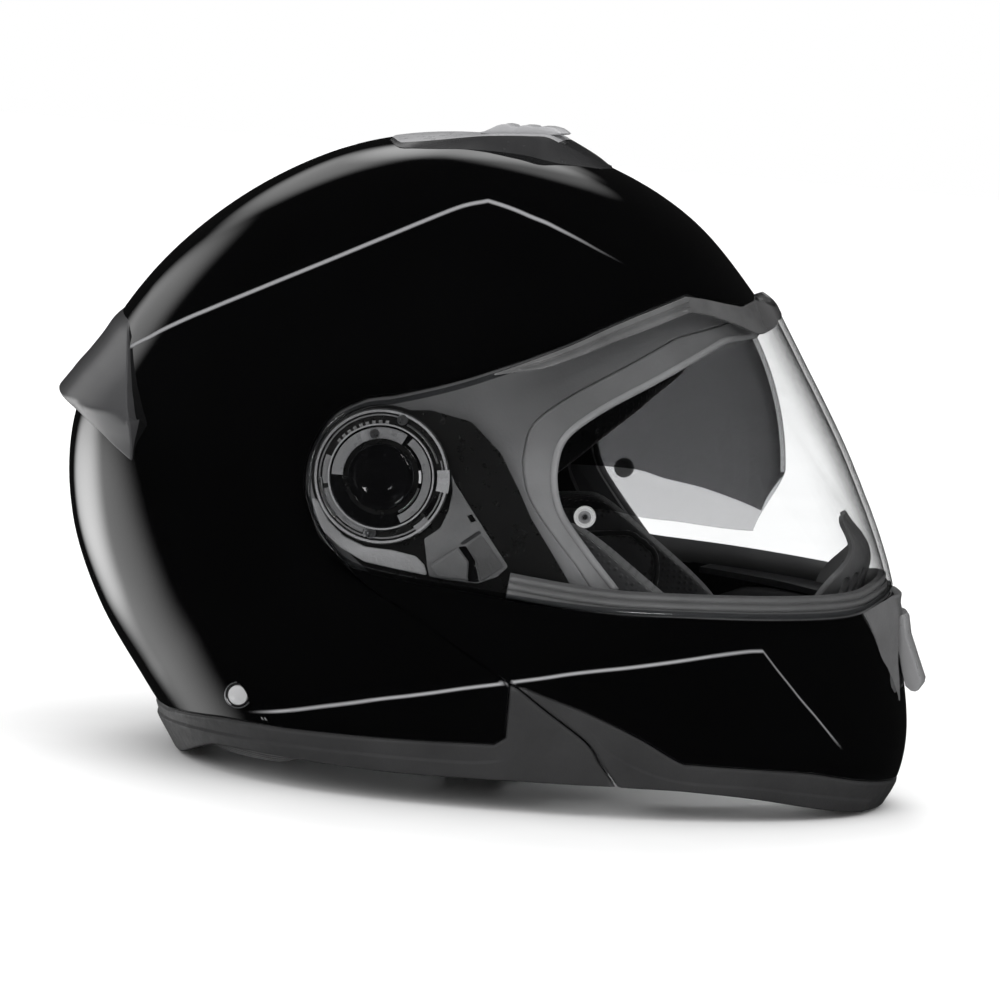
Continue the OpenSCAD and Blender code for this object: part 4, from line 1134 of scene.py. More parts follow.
# ---------------------------------------------------------------- bottom edge trim
def flare_back(obj, amount=0.005, top=0.0175, front=-0.062):
    """Kicks the lower edge outwards round the back; lengths in metres."""
    for vertex in obj.data.vertices:
        x, y, z = vertex.co
        if x < front and z < top:
            back = min(1.0, (front - x) / 0.05)
            back = back * back * (3 - 2 * back)
            drop = max(0.0, 1 - z / top) ** 0.8
            length = math.hypot(x + 0.03, y) or 1.0
            vertex.co.x += amount * back * drop * (x + 0.03) / length
            vertex.co.y += amount * back * drop * y / length
    obj.data.update()


base_line = spline([(-128, 12.5), (-112, 14.2), (-84, 15.6), (-44, 16.6), (5, 17.4),
                    (24, 19.5)], 1.5)
base_crease = Crease(base_line, trim_surface, height=0.9, width=1.2, decay=9, ends=(8, 10), side=1)
trim_loop = np.vstack([
    [(-215, 17.7), (-114.4, 17.7)], spline(trim_top - [0, 0.3]), [(22, 27.8), (22.3, 47.9)],
    trim_step, spline(base_low), [(-150, 0), (-215, 0)]])
base_trim = panel("base_trim_skin", trim_surface, trim_loop, TRIM_RUBBER, thick=5.5, fillet=1.2,
                  step=PANEL_STEP * 0.7, edge=1.5, creases=[base_crease])
flare_back(base_trim)
keep(base_trim, HELMET, "gasket_rubber", "base_trim")

# ---------------------------------------------------------------- chin bar
# crease that runs forwards, then turns down
chin_crease_back = spline([
    (23.2, 49.9), (33.7, 52.1), (43.8, 54.4), (54.0, 56.3), (64.1, 58.0), (74.7, 60.0),
    (85.6, 62.1), (96.5, 64.2), (107.5, 65.9), (113.4, 66.2)])
chin_crease_front = spline([
    (113.4, 66.2), (119.0, 59.5), (124.0, 53.8), (128.9, 48.1), (135.0, 41.4), (140.9, 34.5),
    (147.0, 27.5)])
chin_crease = Crease(np.vstack([chin_crease_back[:-1], chin_crease_front]), chin_outer,
                     height=1.1, width=1.2, decay=22, ends=(0, 16), side=1)
chin_top = shield_low[(shield_low[:, 0] > -49) & (shield_low[:, 0] < 148)
                      & (np.arange(len(shield_low)) > 8)] - [0, 0.9]
chin_loop = np.vstack([
    parting[3:], [(27, 47.9)], spline(chin_trim_top[1:] + [0, 0.3]),
    [(215, 6), (215, 84), (200, 84), (160, 84.9), (152, 80.6)], chin_top[::-1]])
keep(panel("chin_bar_skin", chin_outer, chin_loop, SHELL_GLOSS, thick=4.2, fillet=1.3,
           step=PANEL_STEP, edge=1.5, creases=[chin_crease]),
     CHIN_BAR, "shell_gloss", "chin_bar")

# arms that reach up to a disc round each hinge
arm_outline = [(-16, 148), (-0.5, 145), (11.4, 134.1), (19, 121), (24.4, 110.8), (36.9, 93.1),
               (43, 84), (43, 71), (6, 71), (-19, 78.4), (-31, 83.6), (-42, 92), (-52, 112),
               (-50, 134), (-36, 146)]
arm_loop = round_loop(union_with_disc(arm_outline, np.array(HINGE), 26.6), 3.0, 0.8)
keep(panel("chin_bar_arms", chin_surface(-6.1), arm_loop, BLACK_BAND, thick=2.4, fillet=0.5,
           step=PANEL_STEP, edge=1.2),
     CHIN_BAR, "black_plastic")

shoulder_loop = [(-36, 85), (-21, 83.2), (4.7, 81.3), (23.3, 79.4), (50, 77.4), (70, 77.2),
                 (66, 66), (30, 66), (6, 70), (-16, 75), (-31, 82)]
keep(panel("chin_bar_shoulder", chin_surface(-1.0, widen=-0.6), shoulder_loop, BLACK_BAND,
           thick=7.9, fillet=0.5, step=PANEL_STEP, edge=1.5),
     CHIN_BAR, "black_plastic")

# ledge inside the top of the chin bar
ledge_loop = [(84, 75.4), (155, 75.4), (190, 76.4), (215, 77), (215, 79.6), (190, 79.4),
              (155, 78.6), (84, 77.8)]
keep(panel("chin_bar_ledge", chin_surface(-4.4), ledge_loop, BLACK_PLASTIC, thick=9.0,
           fillet=0.5, step=PANEL_STEP, edge=1.5),
     CHIN_BAR, "black_plastic")

# chin bar edge trim
chin_trim_surface = chin_surface(TRIM_PROUD)
chin_trim_line = spline([(52, 33.5), (64, 23), (84, 15.4), (118, 12.6), (150, 7.6),
                         (160, 5.2)], 1.5)
chin_trim_crease = Crease(chin_trim_line, chin_trim_surface, height=0.9, width=1.2, decay=9,
                          ends=(8, 4), side=1)
chin_trim_loop = np.vstack([
    trim_step[::-1] + [0.8, 0.3], spline(chin_trim_top[:-1]),
    [(185, 8), (215, 4), (215, 0), (185, 0)], spline(chin_trim_low)])
keep(panel("chin_trim_skin", chin_trim_surface, chin_trim_loop, TRIM_RUBBER, thick=6.0,
           fillet=1.2, step=PANEL_STEP * 0.7, edge=1.5, creases=[chin_trim_crease]),
     CHIN_BAR, "gasket_rubber", "chin_trim")

# ---------------------------------------------------------------- chin vent cowl
# side-view limits of the cowl, ending below the shield's edge
VENT_REGION = np.array([
    (168.4, 41.4), (215, 41.4), (215, 84.6), (161, 84.9), (152, 80.5), (149.5, 79.6),
    (152.0, 76.1), (154.4, 71.7), (159.1, 62.8), (163.7, 54.1), (166.4, 47.4)])


def vent_loop():
    """Polar-plane outline of where the cowl stands outside the chin bar."""
    pairs = []
    for phi in np.arange(-32, -9, 0.35):
        leans = np.linspace(90, 30, 400)
        points = chin_vent_surface.at(np.stack(ray(phi, leans), 1))
        sunk = np.where(chin_outer.level(points) < 1 + 0.002)[0]
        reach = leans[sunk[0]] if len(sunk) else leans[-1]
        leans = np.linspace(90, reach, 200)
        points = chin_vent_surface.at(np.stack(ray(phi, leans), 1))
        outside = np.where(~inside(VENT_REGION, points[:, [0, 2]]))[0]
        if len(outside):
            reach = leans[outside[0]]
        if reach < 89.8:
            pairs.append((phi, reach))
    return np.array([ray(phi, reach) for phi, reach in pairs]
                    + [ray(phi, CENTRE) for phi, _ in pairs[::-1]])


vent_cowl = panel("chin_vent_cowl", chin_vent_surface, vent_loop(), GREY_PLASTIC, thick=2.4,
                  fillet=0.7, step=2.0, edge=1.0, polar=True)
for vertex in vent_cowl.data.vertices:
    # the lower part draws back, and the middle is set in
    t = min(1.0, max(0.0, (0.074 - vertex.co.z) / 0.028))
    vertex.co.x -= 0.0048 * t * t * (3 - 2 * t)
    if abs(vertex.co.y) < 0.0185:
        t = min(1.0, (0.0185 - abs(vertex.co.y)) / 0.003)
        fade = min(1.0, max(0.0, (0.0835 - vertex.co.z) / 0.003))
        vertex.co.x -= 0.0021 * t * t * (3 - 2 * t) * fade
keep(vent_cowl, CHIN_BAR, "frame_matte", "chin_vent_housing")

# ---------------------------------------------------------------- lower gasket
# three rubber beads on a web, along the shield's lower edge
gasket_low = shield_low[shield_low[:, 0] > 18]
gasket_lift = 4.9 + 1.3 * np.clip((60 - gasket_low[:, 0]) / 42, 0, 1)
gasket_line = np.vstack([gasket_low + np.stack([0 * gasket_low[:, 0], gasket_lift], 1),
                         [(185, 91.6)]])
gasket_profile = [(6.6, -0.9)]
for centre, radius in ((4.6, 1.5), (1.7, 1.3), (-1.2, 1.2)):
    gasket_profile += [(centre + radius * math.cos(a), radius * 1.05 * math.sin(a))
                       for a in np.linspace(math.radians(20), math.radians(160), 8)]
gasket_profile += [(-3.0, -0.9), (-3.0, -1.9), (6.6, -1.9)]
keep(bead("lower_gasket_bead", gasket_surface, gasket_line, gasket_profile, GASKET_RUBBER,
          off=0.0, step=2.2, smoothing=3),
     CHIN_BAR, "gasket_rubber", "lower_gasket")

# ---------------------------------------------------------------- breath deflector
DEFLECTOR_FOOT = 80
# front view (y, z) of the half outline, then down the centre line and back along the foot
deflector_edge = spline([(-46, 80), (-45.6, 84), (-42, 90.5), (-31, 100), (-22, 108),
                         (-14, 112.6), (-8, 113.6), (0, 113.4)], 1.0)
deflector_yz = (list(deflector_edge) + [(0, z) for z in np.arange(111, DEFLECTOR_FOOT, -2)]
                + [(y, DEFLECTOR_FOOT) for y in np.arange(0, 45.5, 1.5)])


def slot_yz(index):
    """Upright slot with rounded ends; each one outwards is shorter."""
    middle = 17 + 7.5 * index
    for a in np.linspace(0, 2 * math.pi, 14, endpoint=False):
        end = 1.4 * math.sin(a)
        z = (85.5 + end) if math.sin(a) < 0 else (93.0 + end - index * 1.6)
        yield middle + 2.6 * math.cos(a), z


def polar_points(surface, yz):
    return np.array([surface.polar_at(y, z) for y, z in yz])


keep(panel("breath_deflector_skin", deflector_surface,
           polar_points(deflector_surface, deflector_yz), DEFLECTOR_GREY, thick=2.2, fillet=0.6,
           step=3.0, edge=0.9, polar=True,
           holes=[polar_points(deflector_surface, slot_yz(i)) for i in range(3)]),
     CHIN_BAR, "black_plastic", "breath_deflector")

# ---------------------------------------------------------------- face shield
brow_line = shield_top[(shield_top[:, 0] > -30) & (shield_top[:, 0] < 73)]
shield_creases = [
    Crease(brow_line + [2.4, -5.2], shield_surface, height=0.5, width=1.4, decay=30,
           ends=(18, 14), side=-1),
    Crease(brow_line + [4.6, -9.6], shield_surface, height=-0.5, width=1.6, decay=30,
           ends=(18, 14), side=-1)]
shield_loop = np.vstack([
    [(-59, 122)], shield_top,
    spline([(73.5, 196.2), (80, 193.6), (91, 192.8), (106, 194), (140, 194)])[1:],
    [(215, 194), (215, 88), (190, 88), (162, 86.4)], shield_low[::-1]])
keep(panel("face_shield_skin", shield_surface, shield_loop, CLEAR, thick=2.2, fillet=0.8,
           step=PANEL_STEP, edge=1.3, creases=shield_creases),
     FACE_SHIELD, "clear", "shield")

# polished rim of the shield
rim_line = np.vstack([
    shield_low[-1:] + [30, 1.6], shield_low[::-1] + [0, 0.5], [(-58.6, 122)],
    shield_top - [0, 0.5], [(80, 193.1), (91, 192.3), (106, 193.5), (140, 193.5), (170, 193.5)]])
keep(bead("face_shield_rim", shield_surface, rim_line, circle(1.0, 8, stretch=1.25), CLEAR_EDGE,
          off=-1.1, step=1.6, smoothing=2, limit=89.6, closed=True),
     FACE_SHIELD, "clear")


# ---------------------------------------------------------------- sun visor
def visor_loop():
    """Lower edge, nose cut-out, centre line, then the upper edge back to the pivot."""
    low = spline([(20, 113.6), (49.4, 114.5), (63.8, 112.3), (78.6, 111), (93.3, 108.8),
                  (105.6, 106.9)], 1.5)
    low = visor_surface.to_polar(np.vstack([[(-8, 113)], low]))
    nose = []
    for a in np.linspace(0.03, math.pi / 2, 24):
        y = 46 * math.cos(a) ** 1.14 if a < 1.57 else 0.0
        nose.append((y, 106.7 + 20 * math.sin(a) ** 1.14))
    nose = polar_points(visor_surface, nose)
    top = spline([(76, 205), (58, 186), (30, 158), (14, 146), (0, 131), (-8, 127)])[1:]
    top = visor_surface.to_polar(np.vstack([[(130, 170), (100, 196), (76, 205)], top]))
    start = math.degrees(math.atan2(nose[-1][1], nose[-1][0]))
    end = math.degrees(math.atan2(top[0][1], top[0][0]))
    middle = [ray(a, CENTRE) for a in np.arange(start + 1, end, 1.0)]
    return np.vstack([low, nose, middle, top])


keep(panel("sun_visor_skin", visor_surface, visor_loop(), SMOKE, thick=2.0, fillet=0.6,
           step=PANEL_STEP, edge=1.3, polar=True),
     "sun_visor", "smoke", "sun_visor")


# ---------------------------------------------------------------- padding
def apply_modifiers(obj):
    graph = bpy.context.evaluated_depsgraph_get()
    mesh = bpy.data.meshes.new_from_object(obj.evaluated_get(graph))
    obj.modifiers.clear()
    old = obj.data
    obj.data = mesh
    bpy.data.meshes.remove(old)


def positions(mesh):
    flat = np.zeros(len(mesh.vertices) * 3)
    mesh.vertices.foreach_get("co", flat)
    return flat.reshape(-1, 3)


def relax(obj, times):
    bm = bmesh.new()
    bm.from_mesh(obj.data)
    for _ in range(times):
        bmesh.ops.smooth_vert(bm, verts=bm.verts, factor=0.5, use_axis_x=True, use_axis_y=True,
                              use_axis_z=True)
    bm.to_mesh(obj.data)
    bm.free()


def inflate(obj, pressure, cap):
    """Blows the skin up as cloth; no point moves further than the cap, in metres."""
    last_frame = 20
    base = positions(obj.data)
    cloth = obj.modifiers.new("cloth", "CLOTH")
    settings = cloth.settings
    settings.quality = 5
    settings.mass = 0.3
    settings.use_pressure = True
    settings.uniform_pressure_force = pressure
    settings.tension_stiffness = 15
    settings.compression_stiffness = 15
    settings.bending_stiffness = 0.8
    settings.effector_weights.gravity = 0
    cloth.collision_settings.use_collision = False
    cloth.point_cache.frame_start = 1
    cloth.point_cache.frame_end = last_frame
    for number in range(1, last_frame + 1):
        bpy.context.scene.frame_set(number)
    graph = bpy.context.evaluated_depsgraph_get()
    blown = positions(obj.evaluated_get(graph).data)
    obj.modifiers.clear()
    bpy.context.scene.frame_set(1)
    move = blown - base
    length = np.linalg.norm(move, axis=1)
    share = np.minimum(1.0, cap / np.maximum(length, 1e-9))
    obj.data.vertices.foreach_set("co", (base + move * share[:, None]).ravel())
    relax(obj, 1)


def stuffed(node_name, name, material, voxel, pressure, cap, smooth):
    """Fabric cover over filling, made from the skin of a CAD solid."""
    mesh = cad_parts[node_name].data.copy()
    mesh.name = name
    mesh.materials.clear()
    obj = add_object(name, mesh)
    remesh = obj.modifiers.new("remesh", "REMESH")
    remesh.mode = "VOXEL"
    remesh.voxel_size = voxel
    apply_modifiers(obj)
    relax(obj, smooth)
    inflate(obj, pressure, cap)
    subdivide = obj.modifiers.new("sub", "SUBSURF")
    subdivide.levels = subdivide.render_levels = 1
    apply_modifiers(obj)
    obj.data.materials.clear()
    obj.data.materials.append(material)
    shade_smooth(obj.data)
    return obj


def stick(obj, points, lift=0.0):
    """Nearest points on a finished pad, and the outward directions there, in mm."""
    bm = bmesh.new()
    bm.from_mesh(obj.data)
    tree = BVHTree.FromBMesh(bm)
    found, normals = [], []
    for point in points:
        place, normal, _, _ = tree.find_nearest(Vector(point) * MM)
        found.append([c * 1000 for c in place])
        normals.append(list(normal))
    bm.free()
    normals = np.array(normals)
    return np.array(found) + normals * lift, normals


def sew_channel(obj, line, depth, width):
    """Draws the cover in along a line, in mm."""
    tree = tree_of(resample(line, 1.5))
    mesh = obj.data
    points = positions(mesh) * 1000
    normals = np.zeros(len(mesh.vertices) * 3)
    mesh.vertex_normals.foreach_get("vector", normals)
    normals = normals.reshape(-1, 3)
    for i, point in enumerate(points):
        _, _, distance = tree.find(tuple(point))
        if distance < width * 2.2:
            points[i] = point - normals[i] * depth * math.exp(-(distance / width) ** 2)
    mesh.vertices.foreach_set("co", (points * MM).ravel())
    mesh.update()


def press(obj, start, end, side, ratio, bulge=None):
    """Squeezes what stands beyond a side-view line back towards it.

    Side is 1 for the right hand of the line and -1 for the left.
    """
    way = np.array(end, float) - np.array(start, float)
    way /= np.linalg.norm(way)
    out = np.array([way[1], -way[0]]) * side
    for vertex in obj.data.vertices:
        x, z = vertex.co.x * 1000, vertex.co.z * 1000
        if bulge is not None:
            x += bulge(x, z)
        beyond = (x - start[0]) * out[0] + (z - start[1]) * out[1]
        if beyond > -3:          # the squeeze begins 3 mm short of the line
            excess = beyond + 3
            pressed = -3 + excess / (1 + excess * (1 - ratio) / 3.2)
            x += out[0] * (pressed - beyond)
            z += out[1] * (pressed - beyond)
        vertex.co.x, vertex.co.z = x / 1000, z / 1000
    obj.data.update()


def ease_number(t):
    t = min(1.0, max(0.0, t))
    return t * t * (3 - 2 * t)


def cheek_bulge(x, z):
    """Forward push of the cheek pads' front, in mm."""
    return (14 * ease_number((x - 32) / 38) * ease_number((106 - z) / 20)
            * ease_number((z - 24) / 34))


cheek_pads = {}
for side, _ in SIDES:
    cheek_pads[side] = stuffed(f"cheek_pad_{side}", f"cheek_pad_cover_{side}", LINING_MESH,
                               voxel=0.005, pressure=4, cap=0.007, smooth=6)
    press(cheek_pads[side], (43, 102.5), (85, 71.5), side=-1, ratio=0.25, bulge=cheek_bulge)
neck_roll = stuffed("neck_roll", "neck_roll_cover", LINING_KNIT, voxel=0.005, pressure=4,
                    cap=0.005, smooth=5)
crown = stuffed("crown_liner", "crown_cover", LINING_MESH, voxel=0.0058, pressure=3, cap=0.004,
                smooth=4)
press(crown, (44, 137.5), (81, 171), side=1, ratio=0.15)
chin_pad = stuffed("chin_liner", "chin_pad_cover", FOAM, voxel=0.0055, pressure=2, cap=0.003,
                   smooth=3)

# piping and sewn channels of the cheek pads, side view
pad_outline = spline([(-40, 30), (-34, 23), (0, 20), (34, 20), (56, 26), (70, 42), (77, 64),
                      (77, 88), (68, 102), (50, 108), (10, 104), (-26, 100), (-42, 84),
                      (-46, 56), (-40, 30)], 2.0)
piping_loop = inset_loop(pad_outline[:-1], 13.0)
seam_line = spline([(-30, 62), (0, 70), (36, 68), (64, 76)], 2.0)
for side, sign in SIDES:
    pad = cheek_pads[side]
    path, _ = stick(pad, [(x, sign * 40.0, z) for x, z in piping_loop])
    sew_channel(pad, np.vstack([path, path[:1]]), depth=1.2, width=2.4)
    seam, _ = stick(pad, [(x, sign * 44.0, z) for x, z in seam_line])
    sew_channel(pad, seam, depth=1.4, width=2.6)
    path, normals = stick(pad, path, lift=0.2)
    pipe = sweep(f"cheek_pad_piping_{side}", smooth_path(path, 2), normals, circle(1.25, 8),
                 PIPING, closed=True)
    pipe.parent = pad
    keep(pad, HELMET, "liner_fabric", f"cheek_pad_{side}")
keep(neck_roll, HELMET, "liner_fabric", "neck_roll")
keep(crown, HELMET, "liner_fabric", "crown_liner")
keep(chin_pad, CHIN_BAR, "foam", "chin_liner")

# chin curtain: a shelf of cloth under the chin
curtain_loop = [(84, 17.6), (155, 11.2), (190, 8), (215, 6.5), (215, 8.3), (190, 9.8), (155, 13),
                (84, 19.4)]
keep(panel("chin_curtain_cloth", chin_surface(-9.6, widen=-6), curtain_loop, CURTAIN_CLOTH,
           thick=26, fillet=0.6, step=PANEL_STEP, edge=1.5),
     CHIN_BAR, "liner_fabric", "chin_curtain")

# ---------------------------------------------------------------- chin straps
STRAP_X = 11.0
STRAP_HALF_WIDTH = 11.0
STRAP_HALF_THICK = 0.75
SELVEDGE_WIDTH, SELVEDGE_EXTRA = 1.6, 0.28
STITCH_ROW = 8.2                 # distance of each stitched row from the strap's middle
# front view (distance from the centre, z)
strap_line = spline([(96.4, 44), (96.6, 34), (93, 22), (84, 12), (70, 7.2), (52, 6.2), (34, 6)],
                    1.5)


def strap_profile():
    top = []
    for u in np.linspace(-STRAP_HALF_WIDTH, STRAP_HALF_WIDTH, 23):
        extra = SELVEDGE_EXTRA if abs(u) > STRAP_HALF_WIDTH - SELVEDGE_WIDTH else 0.0
        top.append((u, STRAP_HALF_THICK + extra + 0.07 * math.cos(u * math.pi)))
    return top + [(u, -v) for u, v in top[::-1]]


def stitches(name, path, normals):
    """Two rows of small three-sided stitches on both faces of the strap."""
    points, faces = [], []
    section = ((-0.35, 0), (0.35, 0), (0.0, 0.28))   # across in mm, extra share of the lift
    for row in (-STITCH_ROW, STITCH_ROW):
        for i in range(2, len(path) - 3, 2):
            for sign in (1, -1):
                lift = normals[i] * sign * (STRAP_HALF_THICK + 0.12)
                n = len(points)
                for end in (path[i], path[i] * 0.45 + path[i + 1] * 0.55):
                    for across, more in section:
                        points.append(end + np.array([1.0, 0, 0]) * (row + across)
                                      + lift * (1 + more))
                faces += [(n, n + 1, n + 4, n + 3), (n + 1, n + 2, n + 5, n + 4),
                          (n + 2, n, n + 3, n + 5), (n, n + 2, n + 1), (n + 3, n + 4, n + 5)]
    obj = to_mesh(name, points, faces, [GREY_PLASTIC], smooth=False)
    tidy(obj)
    return obj


for side, sign in SIDES:
    path = np.array([(STRAP_X, sign * y, z) for y, z in strap_line])
    normals = unit(np.array([(0.0, sign * -dz, dy) for dy, dz in np.gradient(strap_line, axis=0)]))
    strap = sweep(f"chin_strap_web_{side}", path, normals, strap_profile(), WEBBING)
    soft_edges(strap, 50)
    stitches(f"chin_strap_stitch_{side}", path, normals).parent = strap
    keep(strap, HELMET, "webbing", f"chin_strap_{side}")

# ---------------------------------------------------------------- finishes of the CAD pieces
CAD_FINISHES = {
    "eps_liner": FOAM, "hinge_mount": STEEL, "latch_pin": STEEL, "strap_anchor": STEEL,
    "buckle_frame": BLACK_PLASTIC, "buckle_tongue": STEEL, "buckle_lever": RED_PLASTIC,
    "visor_pivot": BLACK_PLASTIC, "visor_slider": BLACK_PLASTIC, "release_button": RED_PLASTIC,
    "pivot_bush": GREY_PLASTIC, "base_plate": RING_GREY, "side_cover": TEXTURED,
    "pivot_cap": BLACK_GLOSS, "latch_hook": STEEL, "shield_ring": MID_GREY,
}
for node_name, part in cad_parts.items():
    finish = CAD_FINISHES.get(node_name.replace("_left", "").replace("_right", ""))
    if finish is None:
        continue
    if not part.data.materials:
        part.data.materials.append(finish)
    for i in range(len(part.data.materials)):
        part.data.materials[i] = finish


# ---------------------------------------------------------------- turned and merged pieces
def arc(sign, inner, outer, start, end, low, high, material, bevel=0.25):
    """Bevelled ring sector round the hinge; degrees, then distances from the middle plane."""
    full = abs(end - start) >= 359.9
    count = max(6, int(abs(end - start) / 3))
    angles = np.radians(np.linspace(start, end, count, endpoint=not full))
    radius = 0.5 * (inner + outer)
    path = np.stack([HINGE[0] + radius * np.cos(angles), np.full(count, sign * low),
                     HINGE[1] + radius * np.sin(angles)], 1)
    out = np.tile([0.0, float(sign), 0.0], (count, 1))
    h, w = high - low, 0.5 * (outer - inner)
    b = min(bevel, 0.45 * h, 0.45 * w)
    profile = [(-w, 0), (w, 0), (w, h - b), (w - b * 0.3, h - b * 0.3), (w - b, h), (-w + b, h),
               (-w + b * 0.3, h - b * 0.3), (-w, h - b)]
    if full:
        tangent = np.stack([-np.sin(angles), np.zeros(count), np.cos(angles)], 1)
        obj = loft("part", path, np.cross(tangent, out), out, profile, material, closed=True)
    else:
        obj = sweep("part", path, out, profile, material)
    soft_edges(obj, 35)
    return obj


def turned(sign, profile, material, centre=HINGE, count=64):
    """Turned piece; the profile is (radius, distance from the middle plane)."""
    points, faces, rings = [], [], []
    for radius, height in profile:
        start = len(points)
        if radius < 1e-6:
            points.append((centre[0], sign * height, centre[1]))
        else:
            for i in range(count):
                a = 2 * math.pi * i / count
                points.append((centre[0] + radius * math.cos(a), sign * height,
                               centre[1] + radius * math.sin(a)))
        rings.append(range(start, len(points)))
    for here, there in zip(rings[:-1], rings[1:]):
        for i in range(count):
            j = (i + 1) % count
            if len(here) == 1:
                faces.append((here[0], there[i], there[j]))
            elif len(there) == 1:
                faces.append((here[i], here[j], there[0]))
            else:
                faces.append((here[i], here[j], there[j], there[i]))
    obj = to_mesh("part", points, faces, [material])
    tidy(obj)
    soft_edges(obj, 30)
    return obj


def on_hinge(radius, degrees):
    a = math.radians(degrees)
    return HINGE[0] + radius * math.cos(a), HINGE[1] + radius * math.sin(a)


def merge(name, parts):
    """Several pieces made one mesh, each with its own finish."""
    bm = bmesh.new()
    materials = []
    for part in parts:
        first = len(bm.faces)
        bm.from_mesh(part.data)
        bm.faces.ensure_lookup_table()
        for face in bm.faces[first:]:
            face.material_index += len(materials)
        materials += list(part.data.materials)
    mesh = bpy.data.meshes.new(name)
    bm.to_mesh(mesh)
    bm.free()
    for material in materials:
        mesh.materials.append(material)
    for part in parts:
        old = part.data
        bpy.data.objects.remove(part)
        bpy.data.meshes.remove(old)
    return add_object(name, mesh)


# ---------------------------------------------------------------- hinges
# profiles: radius, distance from the middle plane
PAN_PROFILE = [(0, 123.8), (25.2, 123.8), (25.4, 124.2), (25.2, 124.6), (24.6, 124.75),
               (0.0, 124.75)]
HINGE_SCREW = [(0, 124.6), (2.0, 124.6), (2.0, 126.2), (1.6, 126.7), (0.9, 126.75),
               (0.7, 126.2), (0, 126.2)]
RING_SCREW = [(0, 126.2), (1.8, 126.2), (1.8, 127.2), (1.4, 127.6), (0.8, 127.6), (0.6, 127.2),
              (0, 127.2)]
CAP_PROFILE = [
    (0, 125.2), (12.4, 125.2), (12.4, 126.6), (12.1, 127.0), (11.3, 127.0), (11.0, 126.5),
    (10.2, 126.6), (9.6, 127.1), (8.9, 127.15), (8.6, 126.8), (7.7, 126.9), (6.2, 127.4),
    (5.6, 127.4), (5.3, 127.0), (4.2, 127.2), (2.0, 127.6), (0, 127.7)]
# ring sectors: inner and outer radius, start and end degrees, distances from the middle plane
BASE_ARCS = [
    (24.0, 24.9, 0, 360, 124.5, 126.3, RING_GREY),     # rim
    (22.7, 23.3, 70, 380, 124.5, 125.5, MID_GREY),     # step inside the rim
    (19.6, 22.2, 197, 256, 124.5, 125.2, MID_GREY),    # seat
    (19.6, 22.0, 163, 192, 124.5, 125.6, GREY_PLASTIC),  # stop
    (22.2, 23.3, 186, 226, 124.6, 126.5, STEEL),       # clip
    (21.2, 21.9, 18, 68, 124.6, 126.1, STEEL),         # guide
    (21.0, 25.6, -9, 11, 124.6, 126.4, RING_GREY),     # tab
    (19.8, 23.0, 257, 268, 124.5, 125.9, MID_GREY),    # foot
    (20.6, 24.6, -36, -14, 124.5, 125.2, BLACK_GLOSS),  # keeper
    (22.0, 25.4, -52, -38, 124.5, 125.8, MID_GREY),    # toe
]
RING_ARCS = [
    (14.2, 18.4, 62, 182, 125.7, 126.8, MID_GREY),     # long arc
    (15.6, 18.6, -62, 55, 125.7, 126.7, MID_GREY),     # front arc
    (19.2, 19.8, 0, 360, 125.7, 126.9, RING_GREY),     # bead
    (14.2, 19.2, 0, 360, 125.6, 125.9, BLACK_GLOSS),   # base
    (14.3, 15.0, -58, -12, 125.9, 127.3, STEEL),       # spring
    (14.3, 15.1, -4, 14, 125.9, 127.3, LIGHT_GREY),    # latch
]
TOOTH_COUNT, TOOTH_START, TOOTH_PITCH, TOOTH_HALF = 9, 88, 7.0, 1.7   # degrees

# corner cover behind the shield: side-view outlines
COVER_PLATE = [(-6.4, 125.6), (-4.4, 121.6), (17.6, 92.4), (13.6, 88.2), (6.8, 85.2),
               (-4.2, 85.6), (-11.2, 86.4), (-12.3, 90.1), (-14.2, 100.2), (-8.6, 104.6),
               (-6.0, 111.6), (-5.2, 118.6)]
COVER_HOLE = [(0.9, 110.1), (2.6, 110.9), (4.4, 108.5), (2.7, 107.6)]
COVER_WING = [(-57.4, 112.0), (-56.2, 106.0), (-52.2, 99.6), (-45.6, 94.2), (-35.8, 89.6),
              (-24.2, 88.0), (-11.9, 86.6), (-13.4, 90.4), (-16.8, 93.4), (-25.9, 94.9),
              (-36.0, 95.2), (-44.0, 98.2), (-50.2, 103.4), (-54.4, 110.3)]
COVER_PAD = [(-11.2, 90.7), (-1.8, 98.0), (2.6, 93.2), (3.0, 86.4), (-8.2, 86.6)]
COVER_FRONT_PAD = [(1.6, 98.8), (7.0, 103.4), (16.2, 92.4), (8.0, 86.0), (5.6, 93.6)]
COVER_GROOVE = [(-1.4, 98.4), (1.4, 98.9), (5.3, 93.6), (7.4, 85.9), (3.2, 85.8), (3.0, 93.3)]
COVER_SLOT = [(-0.9, 99.9), (5.9, 105.2), (6.8, 104.2), (0.3, 99.1)]
# outline, height off the surface, thickness, material, rim fillet, corner radius, holes
# the front pad takes the painted-shade copy and the wing the painted-light copy of the textured
# grey
COVER_PIECES = [
    (COVER_PLATE, 0.0, 1.2, TEXTURED, 0.35, 0.8, [COVER_HOLE]),
    (COVER_WING, 0.2, 1.4, TEXTURED_PAINTED_LIGHT, 0.5, 0.8, []),
    (COVER_PAD, 1.5, 1.6, TEXTURED, 0.7, 0.8, []),
    (COVER_FRONT_PAD, 0.7, 1.2, TEXTURED_PAINTED_SHADE, 0.45, 0.8, []),
    (COVER_GROOVE, 0.45, 0.5, BLACK_GLOSS, 0.1, 0.2, []),
    (COVER_SLOT, 0.25, 0.4, BLACK_PLASTIC, 0.1, 0.2, []),
]

